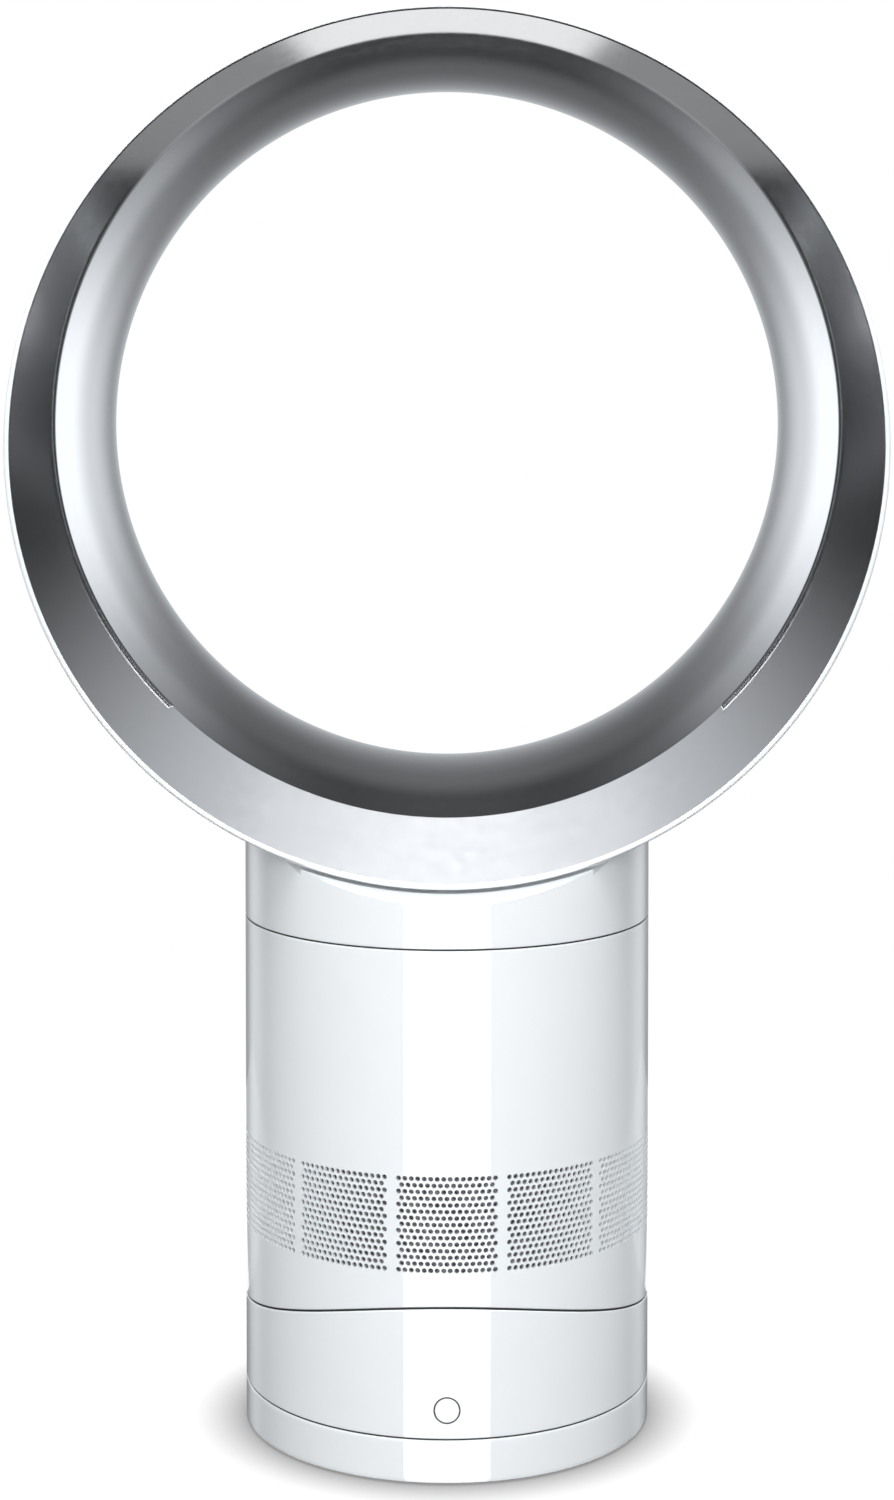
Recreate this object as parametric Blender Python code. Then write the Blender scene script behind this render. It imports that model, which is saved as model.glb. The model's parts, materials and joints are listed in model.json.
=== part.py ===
"""Bladeless desk fan: an oscillating foot, a tilting motor body and a hollow loop that air leaves from.

Metres, +Z up. The origin is on the floor at the centre of the foot, and the front faces -Y.
Every named object is one separate physical piece. Pieces that touch keep a small gap.
"""

import math

import bmesh
import bpy
from mathutils import Matrix, Vector

GAP = 0.0003
SIDES_LARGE = 48
SIDES_SMALL = 8

# Foot, control base and motor body share one outer cylinder.
BODY_R = 0.0725
SKIN = 0.0022
BODY_INNER_R = BODY_R - SKIN

# Seams, measured upward from the floor.
FOOT_SEAM_Z = 0.0156
NECK_SEAM_Z = 0.1816
SEAM_GAP = 0.0006

# The base and the motor body meet on a cylinder about the tilt axis, which runs along X.
TILT_AXIS_Z = 0.2252
SADDLE_R = 0.1800
SADDLE_GAP = 0.0007
TILT_RANGE = math.radians(10)

# Loop. The outer wall and the bore are round about two different centres, so the top is thinner.
LOOP_R = 0.1510
LOOP_Z = 0.3493
LOOP_SIDES = 54
LOOP_WALL = 0.0018
LOOP_FRONT_Y = -0.0530
LOOP_BACK_Y = 0.0530
BORE_Z = 0.3564
LIP_R = 0.1356
LIP_Y = -0.0367
THROAT_R = 0.1229
THROAT_Y = 0.0360
NECK_JOIN_Y = 0.0465
LEDGE_GAP = 0.0012
LEDGE_GAP_FAR = 0.0019
NECK_ROOF = 0.0046

# Air intake: twelve panels of small holes, each simplified here to a few upright slots.
INTAKE_PANELS = 12
INTAKE_SLOTS = 4
INTAKE_Z = (0.0721, 0.1053)
INTAKE_PANEL_ANGLE = math.radians(27.3)

# Oscillation drive: a pinion walks round a fixed gear.
GEAR_MODULE = 0.0015
SUN_TEETH = 40
PINION_TEETH = 10
SUN_R = GEAR_MODULE * SUN_TEETH / 2
PINION_R = GEAR_MODULE * PINION_TEETH / 2
PINION_Y = SUN_R + PINION_R
GEAR_Z = (0.0039, 0.0079)

# Power button.
BUTTON_R = 0.0043
BUTTON_Z = 0.0255
BUTTON_CLEARANCE = 0.0003

# Impeller and the shroud round it.
IMPELLER_BLADES = 9
SHROUD_INNER = ((0.1115, 0.0355), (0.1220, 0.0400), (0.1400, 0.0560), (0.1520, 0.0600), (0.1740, 0.0605))
SHROUD_WALL = 0.0020
BLADE_CLEARANCE = 0.0012
SHAFT_R = 0.0020

WHITE = ("white_gloss_plastic", (0.90, 0.91, 0.92), 0.12, 0.0)
NICKEL = ("satin_nickel", (0.68, 0.69, 0.70), 0.26, 1.0)
GREY = ("grey_plastic", (0.30, 0.31, 0.33), 0.45, 0.0)
BLACK = ("black_plastic", (0.03, 0.03, 0.035), 0.4, 0.0)
RUBBER = ("rubber", (0.05, 0.05, 0.05), 0.8, 0.0)
FOAM = ("acoustic_foam", (0.16, 0.16, 0.17), 0.95, 0.0)
STEEL = ("steel", (0.62, 0.62, 0.63), 0.3, 1.0)
COPPER = ("copper_wire", (0.72, 0.38, 0.20), 0.35, 1.0)
MAGNET = ("magnet", (0.14, 0.14, 0.15), 0.4, 1.0)
BOARD = ("circuit_board", (0.03, 0.20, 0.10), 0.5, 0.0)
ACETAL = ("acetal", (0.80, 0.79, 0.74), 0.4, 0.0)


AXIS_TURNS = {
    "Z": Matrix(),
    "Y": Matrix.Rotation(math.radians(-90), 4, "X"),
    "X": Matrix.Rotation(math.radians(90), 4, "Y"),
}


def placement(axis, centre):
    """Turns +Z onto an axis, then moves to a centre."""
    return Matrix.Translation(Vector(centre)) @ AXIS_TURNS[axis]


def clear_scene():
    for old in list(bpy.data.objects):
        bpy.data.objects.remove(old, do_unlink=True)


def material_of(spec):
    name, colour, roughness, metallic = spec
    material = bpy.data.materials.get(name)
    if material:
        return material
    material = bpy.data.materials.new(name)
    material.use_nodes = True
    shader = material.node_tree.nodes["Principled BSDF"]
    shader.inputs["Base Color"].default_value = (*colour, 1.0)
    shader.inputs["Roughness"].default_value = roughness
    shader.inputs["Metallic"].default_value = metallic
    return material


def make_object(name, mesh_data, spec):
    """An object from a bmesh, with its faces turned outward and its curved faces shaded smooth."""
    bmesh.ops.recalc_face_normals(mesh_data, faces=mesh_data.faces)
    mesh = bpy.data.meshes.new(name)
    mesh_data.to_mesh(mesh)
    mesh_data.free()
    mesh.materials.append(material_of(spec))
    mesh.shade_smooth()
    mesh.set_sharp_from_angle(angle=math.radians(35))
    obj = bpy.data.objects.new(name, mesh)
    bpy.context.scene.collection.objects.link(obj)
    return obj


def apply_booleans(target, operation, tools):
    """Cuts the tools from the target, or joins them to it, one after another, and removes them."""
    for tool in tools:
        modifier = target.modifiers.new(operation.title(), "BOOLEAN")
        modifier.operation = operation
        modifier.object = tool
    graph = bpy.context.evaluated_depsgraph_get()
    result = bpy.data.meshes.new_from_object(target.evaluated_get(graph))
    target.modifiers.clear()
    target.data = result
    target.data.shade_smooth()
    target.data.set_sharp_from_angle(angle=math.radians(35))
    for tool in tools:
        bpy.data.objects.remove(tool, do_unlink=True)
    return target


def as_one(tools):
    """Puts cutters that don't meet each other into one mesh."""
    mesh = bmesh.new()
    for tool in tools:
        mesh.from_mesh(tool.data)
        bpy.data.objects.remove(tool, do_unlink=True)
    return make_object("cutters", mesh, GREY)


def cut(target, *tools):
    return apply_booleans(target, "DIFFERENCE", tools)


def join(target, *tools):
    return apply_booleans(target, "UNION", tools)


def keep_inside(target, tool):
    return apply_booleans(target, "INTERSECT", (tool,))


def loft(name, rings, spec, closed_tube):
    """A skin over rings of points. A ring of one point closes an end; a closed tube joins last to first."""
    mesh = bmesh.new()
    made = [[mesh.verts.new(point) for point in ring] for ring in rings]
    pairs = list(zip(made, made[1:]))
    if closed_tube:
        pairs.append((made[-1], made[0]))
    for first, second in pairs:
        if len(first) == 1 and len(second) == 1:
            continue
        count = max(len(first), len(second))
        for i in range(count):
            j = (i + 1) % count
            corners = [first[i % len(first)], first[j % len(first)]]
            corners += [second[j % len(second)], second[i % len(second)]]
            mesh.faces.new(list(dict.fromkeys(corners)))
    return make_object(name, mesh, spec)


def turned(name, profile, spec, sides=SIDES_LARGE, axis="Z", centre=(0, 0, 0)):
    """A solid of revolution. The profile lists (distance from the axis, height along it) round the section."""
    place = placement(axis, centre)
    rings = []
    for radius, height in profile:
        count = 1 if radius == 0 else sides
        angles = [math.tau * i / sides for i in range(count)]
        rings.append([place @ Vector((radius * math.cos(a), radius * math.sin(a), height)) for a in angles])
    touches_axis = any(radius == 0 for radius, _ in profile)
    return loft(name, rings, spec, closed_tube=not touches_axis)


def rod(name, radius, start, end, spec, axis="Z", centre=(0, 0, 0), sides=SIDES_SMALL):
    """A solid cylinder with one flat face at each end."""
    place = placement(axis, centre)
    mesh = bmesh.new()
    rings = []
    circle = [on_circle(radius, math.tau * i / sides) for i in range(sides)]
    for height in (start, end):
        rings.append([mesh.verts.new(place @ Vector((x, y, height))) for x, y in circle])
    mesh.faces.new(rings[0])
    mesh.faces.new(rings[1])
    for i in range(sides):
        j = (i + 1) % sides
        mesh.faces.new([rings[0][i], rings[0][j], rings[1][j], rings[1][i]])
    return make_object(name, mesh, spec)


def tube(name, inner, outer, start, end, spec, axis="Z", centre=(0, 0, 0), sides=SIDES_LARGE):
    profile = [(outer, end), (outer, start), (inner, start), (inner, end)]
    return turned(name, profile, spec, sides, axis, centre)


def block(name, low, high, spec):
    mesh = bmesh.new()
    bmesh.ops.create_cube(mesh, size=1.0)
    for vertex in mesh.verts:
        vertex.co = [low[k] if vertex.co[k] < 0 else high[k] for k in range(3)]
    return make_object(name, mesh, spec)


def prism(name, outline, low, high, spec):
    """An extruded outline of (x, y) points."""
    mesh = bmesh.new()
    top, bottom = [[mesh.verts.new((x, y, z)) for x, y in outline] for z in (high, low)]
    count = len(outline)
    for i in range(count):
        j = (i + 1) % count
        mesh.faces.new([top[i], top[j], bottom[j], bottom[i]])
    mesh.faces.new(top)
    mesh.faces.new(bottom)
    return make_object(name, mesh, spec)


def on_circle(radius, angle, centre=(0.0, 0.0)):
    return centre[0] + radius * math.cos(angle), centre[1] + radius * math.sin(angle)


def gear_outline(teeth, first_tooth_angle, centre, grow=0.0):
    """Straight-sided stub teeth with enough backlash to roll without touching."""
    pitch_r = GEAR_MODULE * teeth / 2
    root_r = pitch_r - 1.05 * GEAR_MODULE
    tip_r = pitch_r + 0.75 * GEAR_MODULE
    root_half = 0.66 * GEAR_MODULE / root_r
    tip_half = 0.24 * GEAR_MODULE / tip_r
    points = []
    for tooth in range(teeth):
        middle = first_tooth_angle + math.tau * tooth / teeth
        points.append(on_circle(root_r + grow, middle - root_half, centre))
        points.append(on_circle(tip_r + grow, middle - tip_half, centre))
        points.append(on_circle(tip_r + grow, middle + tip_half, centre))
        points.append(on_circle(root_r + grow, middle + root_half, centre))
    return points


def tilt_cylinder(name, radius, half_width):
    """A solid cylinder about the tilt axis."""
    return rod(name, radius, -half_width, half_width, GREY, "X", (0, 0, TILT_AXIS_Z), sides=144)


def tilt_arc(name, x_range, radii, half_angle, spec, steps=8):
    """A block that follows a circle about the tilt axis, from straight below it to half_angle either way."""
    rings = []
    for i in range(steps + 1):
        angle = half_angle * (2 * i / steps - 1)
        corners = [(x_range[0], radii[0]), (x_range[1], radii[0])]
        corners += [(x_range[1], radii[1]), (x_range[0], radii[1])]
        rings.append([(x, r * math.sin(angle), TILT_AXIS_Z - r * math.cos(angle)) for x, r in corners])
    mesh = bmesh.new()
    made = [[mesh.verts.new(point) for point in ring] for ring in rings]
    for first, second in zip(made, made[1:]):
        for k in range(4):
            mesh.faces.new([first[k], first[(k + 1) % 4], second[(k + 1) % 4], second[k]])
    mesh.faces.new(made[0])
    mesh.faces.new(made[-1])
    return make_object(name, mesh, spec)


def screw(name, centre, head_z, tip_z, head_r=0.0020, shank_r=0.0010, head_height=0.0012):
    """A pan-head screw along Z. Its head is at head_z, and its shank runs to tip_z, up or down."""
    away = 1 if head_z > tip_z else -1
    top = head_z + away * head_height
    profile = [(0, top), (head_r, top), (head_r, head_z), (shank_r, head_z), (shank_r, tip_z), (0, tip_z)]
    return turned(name, profile, STEEL, 10, "Z", (centre[0], centre[1], 0))


# ---------------------------------------------------------------- foot

PAD_TOP = 0.0012
FOOT_FLOOR = (0.0015, 0.0035)
FOOT_TOP = FOOT_SEAM_Z - SEAM_GAP / 2
PAD_R = (0.0520, 0.0690)
TRACK_R = (0.0562, 0.0610)
TRACK_TOP = 0.0130
HUB_R = (0.0035, 0.0065)
HUB_TOP = 0.0145
INLET_Z = 0.0085
INLET_R = 0.0042
SCREW_HOLE_R = 0.0013
GEAR_SCREW_R = 0.0255
GEAR_SCREW_ANGLES = [math.radians(a) for a in (30, 150, 270)]


def build_foot():
    tube("foot_pad", PAD_R[0], PAD_R[1], 0.0, PAD_TOP, RUBBER)
    low, high = FOOT_FLOOR
    pad_edge = PAD_R[1] + GAP
    shell_profile = [
        (0, high),
        (BODY_INNER_R, high),
        (BODY_INNER_R, FOOT_TOP),
        (BODY_R, FOOT_TOP),
        (BODY_R, 0.0014),
        (BODY_R - 0.0006, 0.0008),
        (pad_edge, 0.0008),
        (pad_edge, low),
        (0, low),
    ]
    shell = turned("foot_shell", shell_profile, WHITE)
    join(
        shell,
        tube("track", TRACK_R[0], TRACK_R[1], high - 0.0005, TRACK_TOP, WHITE, sides=24),
        tube("hub", HUB_R[0], HUB_R[1], high - 0.0005, HUB_TOP, WHITE, sides=16),
    )
    hole_for_inlet = rod("inlet_hole", INLET_R + GAP, 0.0620, 0.0760, WHITE, "Y", (0, 0, INLET_Z), sides=12)
    screw_places = [(*on_circle(GEAR_SCREW_R, a), 0) for a in GEAR_SCREW_ANGLES]
    screw_holes = [
        rod("screw_hole", SCREW_HOLE_R, low + 0.0004, high + 0.001, WHITE, "Z", place) for place in screw_places
    ]
    cut(shell, hole_for_inlet, as_one(screw_holes))

    half_tooth = math.pi / SUN_TEETH
    teeth = gear_outline(SUN_TEETH, math.pi / 2 + half_tooth, (0, 0))
    gear = prism("fixed_gear", teeth, *GEAR_Z, ACETAL)
    cut(gear, rod("gear_bore", 0.0215, GEAR_Z[0] - 0.001, GEAR_Z[1] + 0.001, ACETAL, sides=22))
    gear_holes = [
        rod("gear_hole", SCREW_HOLE_R, GEAR_Z[0] - 0.001, GEAR_Z[1] + 0.001, ACETAL, "Z", place)
        for place in screw_places
    ]
    cut(gear, as_one(gear_holes))
    for number, angle in enumerate(GEAR_SCREW_ANGLES, 1):
        screw(f"gear_screw_{number}", on_circle(GEAR_SCREW_R, angle), GEAR_Z[1] + GAP, low + 0.0007)

    ring_r = (TRACK_R[0] + GAP, TRACK_R[1] - GAP)
    tube("bearing_ring", ring_r[0], ring_r[1], TRACK_TOP + GAP, TRACK_TOP + 0.0020, ACETAL, sides=24)

    pin_and_socket = [
        (0, 0.0712),
        (0.0009, 0.0712),
        (0.0009, 0.0655),
        (0.0028, 0.0655),
        (0.0028, 0.0722),
        (INLET_R, 0.0722),
        (INLET_R, 0.0635),
        (0, 0.0635),
    ]
    turned("dc_inlet", pin_and_socket, BLACK, 20, "Y", (0, 0, INLET_Z))

    retainer_profile = [
        (0.0018, 0.0205),
        (0.0098, 0.0205),
        (0.0098, 0.0178),
        (HUB_R[0] - GAP, 0.0178),
        (HUB_R[0] - GAP, 0.0060),
        (0.0018, 0.0060),
    ]
    turned("pivot_retainer", retainer_profile, STEEL, 16)


# ---------------------------------------------------------------- control base

BASE_LOW = FOOT_SEAM_Z + SEAM_GAP / 2
FLOOR_Z = (0.0153, 0.0173)
FLOOR_R = BODY_INNER_R - GAP - 0.0002
CRADLE_THICK = 0.0020
CRADLE_TOP_R = SADDLE_R + SADDLE_GAP / 2
CRADLE_UNDER_R = CRADLE_TOP_R + CRADLE_THICK
POST_R = 0.0035
SHELL_POST_R = 0.0678
SHELL_SCREW_R = 0.0660
SHELL_POST_ANGLES = [math.radians(a) for a in (50, 130, 230, 310)]
CRADLE_POST_X = 0.0500
RUNNER_X = 0.0300
RUNNER_HALF_WIDTH = 0.0015
RUNNER_FLANGE = 0.0045
RUNNER_HALF_ANGLE = math.radians(3.8)
SLOT_MARGIN = 0.0004
SLOT_HALF_ANGLE = RUNNER_HALF_ANGLE + TILT_RANGE + math.radians(0.4)
MOTOR_CAN_R = 0.0140
MOTOR_EAR_X = 0.0175
PCB_Y = (-0.0592, -0.0576)
SWITCH_FACE_Y = -0.0630


def wire_slot(name):
    return block(name, (-0.004, -0.014, 0.030), (0.004, 0.014, 0.060), GREY)


def runner_slots(radii, margin, half_angle):
    """Cutters for the slots that the two tilt runners pass through."""
    reach = RUNNER_HALF_WIDTH + margin
    ranges = [(side * RUNNER_X - reach, side * RUNNER_X + reach) for side in (-1, 1)]
    return [tilt_arc("runner_slot", x_range, radii, half_angle, GREY, steps=10) for x_range in ranges]


def build_base_floor():
    floor = turned(
        "base_floor",
        [
            (HUB_R[1] + GAP, FLOOR_Z[1]),
            (FLOOR_R, FLOOR_Z[1]),
            (FLOOR_R, FLOOR_Z[0]),
            (0.0090, FLOOR_Z[0]),
            (0.0090, 0.0090),
            (HUB_R[1] + GAP, 0.0090),
        ],
        GREY,
    )
    centres = [on_circle(SHELL_SCREW_R, a) for a in SHELL_POST_ANGLES]
    centres += [(side * CRADLE_POST_X, 0.0) for side in (-1, 1)]
    centres += [(side * MOTOR_EAR_X, PINION_Y) for side in (-1, 1)]
    holes = [rod("hole", SCREW_HOLE_R, 0.0140, 0.0185, GREY, "Z", (x, y, 0)) for x, y in centres]
    shaft_hole = rod("hole", 0.0022, 0.0140, 0.0185, GREY, "Z", (0, PINION_Y, 0))
    cut(floor, as_one([shaft_hole, *holes]))


def build_base_shell():
    shell = tube("base_shell", BODY_INNER_R, BODY_R, BASE_LOW, 0.0800, WHITE)
    posts = [
        rod("post", POST_R, FLOOR_Z[1] + GAP, 0.0300, WHITE, "Z", (*on_circle(SHELL_POST_R, a), 0))
        for a in SHELL_POST_ANGLES
    ]
    join(shell, *posts)
    screw_holes = [
        rod("hole", SCREW_HOLE_R, 0.0150, 0.0245, WHITE, "Z", (*on_circle(SHELL_SCREW_R, a), 0))
        for a in SHELL_POST_ANGLES
    ]
    hole_r = BUTTON_R + BUTTON_CLEARANCE
    button_hole = rod("hole", hole_r, -0.0800, -0.0600, WHITE, "Y", (0, 0, BUTTON_Z), sides=24)
    saddle = tilt_cylinder("saddle", CRADLE_TOP_R, 0.1)
    cut(shell, saddle, button_hole, as_one(screw_holes))


def build_cradle_plate():
    plate = rod("cradle_plate", BODY_INNER_R - GAP, 0.0350, 0.0800, GREY, sides=SIDES_LARGE)
    keep_inside(plate, tilt_cylinder("under", CRADLE_UNDER_R, 0.1))
    cut(plate, tilt_cylinder("top", CRADLE_TOP_R, 0.1))
    feet = [(side * CRADLE_POST_X, 0, 0) for side in (-1, 1)]
    join(plate, *[rod("post", POST_R, FLOOR_Z[1] + GAP, 0.0435, GREY, "Z", place) for place in feet])
    holes = [rod("hole", SCREW_HOLE_R, 0.0150, 0.0250, GREY, "Z", place) for place in feet]
    slots = runner_slots((CRADLE_TOP_R - 0.002, CRADLE_UNDER_R + 0.002), SLOT_MARGIN, SLOT_HALF_ANGLE)
    cut(plate, as_one([wire_slot("wire_slot"), *slots, *holes]))


def build_oscillation_motor():
    low = FLOOR_Z[1] + GAP
    motor = rod("oscillation_motor", MOTOR_CAN_R, low, 0.0300, STEEL, "Z", (0, PINION_Y, 0), sides=32)
    ear_end = MOTOR_EAR_X + 0.0030
    ears = block("ears", (-ear_end, PINION_Y - 0.003, low), (ear_end, PINION_Y + 0.003, low + 0.0015), STEEL)
    join(motor, ears)
    bore = rod("bore", SHAFT_R + GAP, 0.0150, 0.0240, STEEL, "Z", (0, PINION_Y, 0))
    ear_places = [(side * MOTOR_EAR_X, PINION_Y, 0) for side in (-1, 1)]
    ear_holes = [rod("hole", SCREW_HOLE_R, 0.0150, 0.0210, STEEL, "Z", place) for place in ear_places]
    cut(motor, as_one([bore, *ear_holes]))
    for number, side in enumerate((-1, 1), 1):
        screw(f"motor_screw_{number}", (side * MOTOR_EAR_X, PINION_Y), low + 0.0015 + GAP, 0.0157)


def build_pinion():
    teeth = gear_outline(PINION_TEETH, -math.pi / 2, (0, PINION_Y))
    pinion = prism("oscillation_pinion", teeth, GEAR_Z[0] + 0.0002, GEAR_Z[1] + 0.0006, ACETAL)
    shaft = rod("shaft", 0.0017, GEAR_Z[1], 0.0225, ACETAL, "Z", (0, PINION_Y, 0))
    join(pinion, shaft)


def build_controls():
    block("control_pcb", (-0.0300, PCB_Y[0], 0.0190), (0.0300, PCB_Y[1], 0.0405), BOARD)
    front_y = PCB_Y[0] - GAP
    switch_low = (-0.003, SWITCH_FACE_Y, BUTTON_Z - 0.003)
    switch = block("tact_switch", switch_low, (0.003, front_y, BUTTON_Z + 0.003), BLACK)
    join(switch, rod("plunger", 0.0015, -0.0642, -0.0628, BLACK, "Y", (0, 0, BUTTON_Z)))
    block("speed_display", (-0.0065, -0.0640, 0.0325), (0.0065, front_y, 0.0395), BLACK)
    receiver = block("ir_receiver", (0.0130, -0.0625, 0.0225), (0.0190, front_y, 0.0295), BLACK)
    dome = turned(
        "dome",
        [(0, -0.0020), (0.0014, -0.0014), (0.0020, 0.0), (0.0020, 0.0010), (0, 0.0010)],
        BLACK,
        12,
        "Y",
        (0.0160, -0.0625, 0.0262),
    )
    join(receiver, dome)

    button = turned(
        "power_button",
        [
            (0, -0.0655),
            (0.0020, -0.0655),
            (0.0020, -0.0683),
            (0.0056, -0.0683),
            (0.0056, -0.0697),
            (BUTTON_R, -0.0697),
            (BUTTON_R, -0.0740),
            (0, -0.0740),
        ],
        WHITE,
        24,
        "Y",
        (0, 0, BUTTON_Z),
    )
    keep_inside(button, rod("skin", BODY_R, 0.0, 0.0500, WHITE, sides=SIDES_LARGE))
    build_button_spring()


def build_button_spring():
    """A coil spring between the button's flange and the switch."""
    turns = 4
    steps = 8
    coil_r = 0.0034
    wire_r = 0.00025
    wire_sides = 5
    start, end = -0.0680, SWITCH_FACE_Y - 0.0006
    rings = []
    ends = []
    for i in range(turns * steps + 1):
        turn = i / steps
        angle = math.tau * turn
        y = start + wire_r + (end - start - 2 * wire_r) * turn / turns
        across = Vector((math.cos(angle), 0, math.sin(angle)))
        centre = Vector((0, y, BUTTON_Z)) + across * coil_r
        ring = []
        for corner in range(wire_sides):
            a = math.tau * corner / wire_sides
            ring.append(centre + (across * math.cos(a) + Vector((0, math.sin(a), 0))) * wire_r)
        rings.append(ring)
        ends.append(centre)
    rings = [[ends[0]]] + rings + [[ends[-1]]]
    loft("button_spring", rings, STEEL, closed_tube=False)


def build_control_base():
    build_base_floor()
    build_base_shell()
    build_cradle_plate()
    build_oscillation_motor()
    build_pinion()
    build_controls()
    for number, angle in enumerate(SHELL_POST_ANGLES, 1):
        screw(f"base_screw_{number}", on_circle(SHELL_SCREW_R, angle), 0.0150, 0.0235, head_height=0.0010)
    for number, side in enumerate((-1, 1), 1):
        screw(f"cradle_screw_{number}", (side * CRADLE_POST_X, 0), 0.0150, 0.0235)


# ---------------------------------------------------------------- tilting head: motor body

BODY_TOP = NECK_SEAM_Z - SEAM_GAP / 2
HEAD_SADDLE_R = SADDLE_R - SADDLE_GAP / 2
BOTTOM_PLATE_THICK = 0.0030
BOTTOM_PLATE_TOP_R = HEAD_SADDLE_R - BOTTOM_PLATE_THICK
BODY_POST_X = 0.0663
PLATFORM_Z = (0.1068, 0.1088)
PLATFORM_HOLE_R = 0.0372
LEDGE_Z = 0.1060


def build_motor_body_shell():
    shell = rod("motor_body_shell", BODY_R, 0.0400, BODY_TOP, WHITE, sides=SIDES_LARGE)
    keep_inside(shell, tilt_cylinder("saddle", HEAD_SADDLE_R, 0.1))
    bore = rod("bore", BODY_INNER_R, 0.0300, BODY_TOP + 0.01, WHITE, sides=SIDES_LARGE)
    ledge_low = LEDGE_Z - 0.0020
    cut(bore, tube("ledge", 0.0670, BODY_R, ledge_low, LEDGE_Z, WHITE))
    cut(shell, bore)
    posts = []
    for side in (-1, 1):
        post = rod("post", 0.0036, 0.0400, 0.0610, WHITE, "Z", (side * (BODY_POST_X + 0.0016), 0, 0))
        posts.append(keep_inside(post, tilt_cylinder("plate_top", BOTTOM_PLATE_TOP_R - GAP, 0.1)))
    join(shell, *posts)
    screw_places = [(side * BODY_POST_X, 0, 0) for side in (-1, 1)]
    screw_holes = [rod("hole", SCREW_HOLE_R, 0.0300, 0.0590, WHITE, "Z", place) for place in screw_places]
    cut(shell, as_one([intake_slots(), *screw_holes]))


def intake_slots():
    """All the upright intake slots as one cutter."""
    mesh = bmesh.new()
    slot_pitch = INTAKE_PANEL_ANGLE / INTAKE_SLOTS
    slot_half = slot_pitch * 0.29
    low, high = INTAKE_Z
    for panel in range(INTAKE_PANELS):
        for slot in range(INTAKE_SLOTS):
            offset = (slot + 0.5) * slot_pitch - INTAKE_PANEL_ANGLE / 2
            middle = -math.pi / 2 + math.tau * panel / INTAKE_PANELS + offset
            corners = [
                on_circle(radius, middle + side * slot_half)
                for radius, side in ((0.066, -1), (0.066, 1), (0.078, 1), (0.078, -1))
            ]
            made = [[mesh.verts.new((x, y, z)) for x, y in corners] for z in (low, high)]
            mesh.faces.new(made[0])
            mesh.faces.new(made[1])
            for k in range(4):
                mesh.faces.new([made[0][k], made[0][(k + 1) % 4], made[1][(k + 1) % 4], made[1][k]])
    return make_object("intake_slots", mesh, WHITE)


def build_bottom_plate():
    plate = rod("head_bottom_plate", BODY_INNER_R - GAP, 0.0350, 0.0800, GREY)
    keep_inside(plate, tilt_cylinder("under", HEAD_SADDLE_R, 0.1))
    cut(plate, tilt_cylinder("top", BOTTOM_PLATE_TOP_R, 0.1))
    slot_half_angle = RUNNER_HALF_ANGLE + math.radians(0.1)
    slots = runner_slots((HEAD_SADDLE_R - 0.006, HEAD_SADDLE_R + 0.002), GAP, slot_half_angle)
    posts = [(side * BODY_POST_X, 0, 0) for side in (-1, 1)]
    holes = [rod("hole", SCREW_HOLE_R, 0.0350, 0.0600, GREY, "Z", place) for place in posts]
    sinks = [rod("sink", 0.0023, 0.0350, 0.0472, GREY, "Z", place) for place in posts]
    cut(plate, as_one([wire_slot("wire_slot"), *slots, *holes]))
    cut(plate, as_one(sinks))
    for number, side in enumerate((-1, 1), 1):
        screw(f"bottom_plate_screw_{number}", (side * BODY_POST_X, 0), 0.0469, 0.0575, head_height=0.0009)


def build_tilt_runners():
    """I-shaped runners: the top flange lies in the head, the lower one hooks under the base's cradle plate."""
    for name, side in (("tilt_runner_left", -1), ("tilt_runner_right", 1)):
        centre = side * RUNNER_X
        web_x = (centre - RUNNER_HALF_WIDTH, centre + RUNNER_HALF_WIDTH)
        flange_x = (centre - RUNNER_FLANGE, centre + RUNNER_FLANGE)
        top_r = BOTTOM_PLATE_TOP_R - GAP
        under_r = CRADLE_UNDER_R + GAP
        web = tilt_arc(name, web_x, (top_r - 0.0010, under_r + 0.0010), RUNNER_HALF_ANGLE, ACETAL)
        top_flange = tilt_arc("flange", flange_x, (top_r - 0.0016, top_r), RUNNER_HALF_ANGLE, ACETAL)
        low_flange = tilt_arc("flange", flange_x, (under_r, under_r + 0.0020), RUNNER_HALF_ANGLE, ACETAL)
        join(web, top_flange, low_flange)


def build_lower_foam():
    foam = rod("lower_foam", 0.0610, 0.0400, 0.0695, FOAM, sides=32)
    keep_inside(foam, tilt_cylinder("under", BOTTOM_PLATE_TOP_R - 0.0023, 0.1))
    cut(foam, rod("wire_hole", 0.0050, 0.0300, 0.0800, FOAM))


# ---------------------------------------------------------------- tilting head: air mover

BUCKET_R = 0.0290
BUCKET_WALL = 0.0018
BUCKET_LOW_Z = 0.1430
BUCKET_SPLIT_Z = 0.1560
BUCKET_TOP_Z = 0.1750
BEARING_R = 0.0050
DIFFUSER_VANES = 9
VANE_RING_R = (0.0583, 0.0597)
VANE_Z = (0.1575, 0.1645)
VANE_SWEEP = -0.28
BLADE_SWEEP = 0.75
BLADE_THICK = 0.0012


def shroud_radius(z):
    """Inner radius of the impeller housing at a height."""
    for (z0, r0), (z1, r1) in zip(SHROUD_INNER, SHROUD_INNER[1:]):
        if z <= z1:
            return r0 + (r1 - r0) * (z - z0) / (z1 - z0)
    return SHROUD_INNER[-1][1]


def build_platform_and_housing():
    tube("annular_platform", PLATFORM_HOLE_R, BODY_INNER_R - GAP, *PLATFORM_Z, GREY)
    seal_low = PLATFORM_Z[1] + GAP
    tube("housing_seal", 0.0385, 0.0440, seal_low, seal_low + 0.0020, RUBBER, sides=32)
    start_z = SHROUD_INNER[0][0]
    inner = [(r, z) for z, r in SHROUD_INNER]
    outer = [(r + SHROUD_WALL, z) for z, r in SHROUD_INNER[1:]]
    flange = [(0.0440, start_z + 0.0020), (0.0440, start_z)]
    profile = inner + outer[::-1] + flange
    turned("impeller_housing", profile, GREY, 32)


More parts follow.
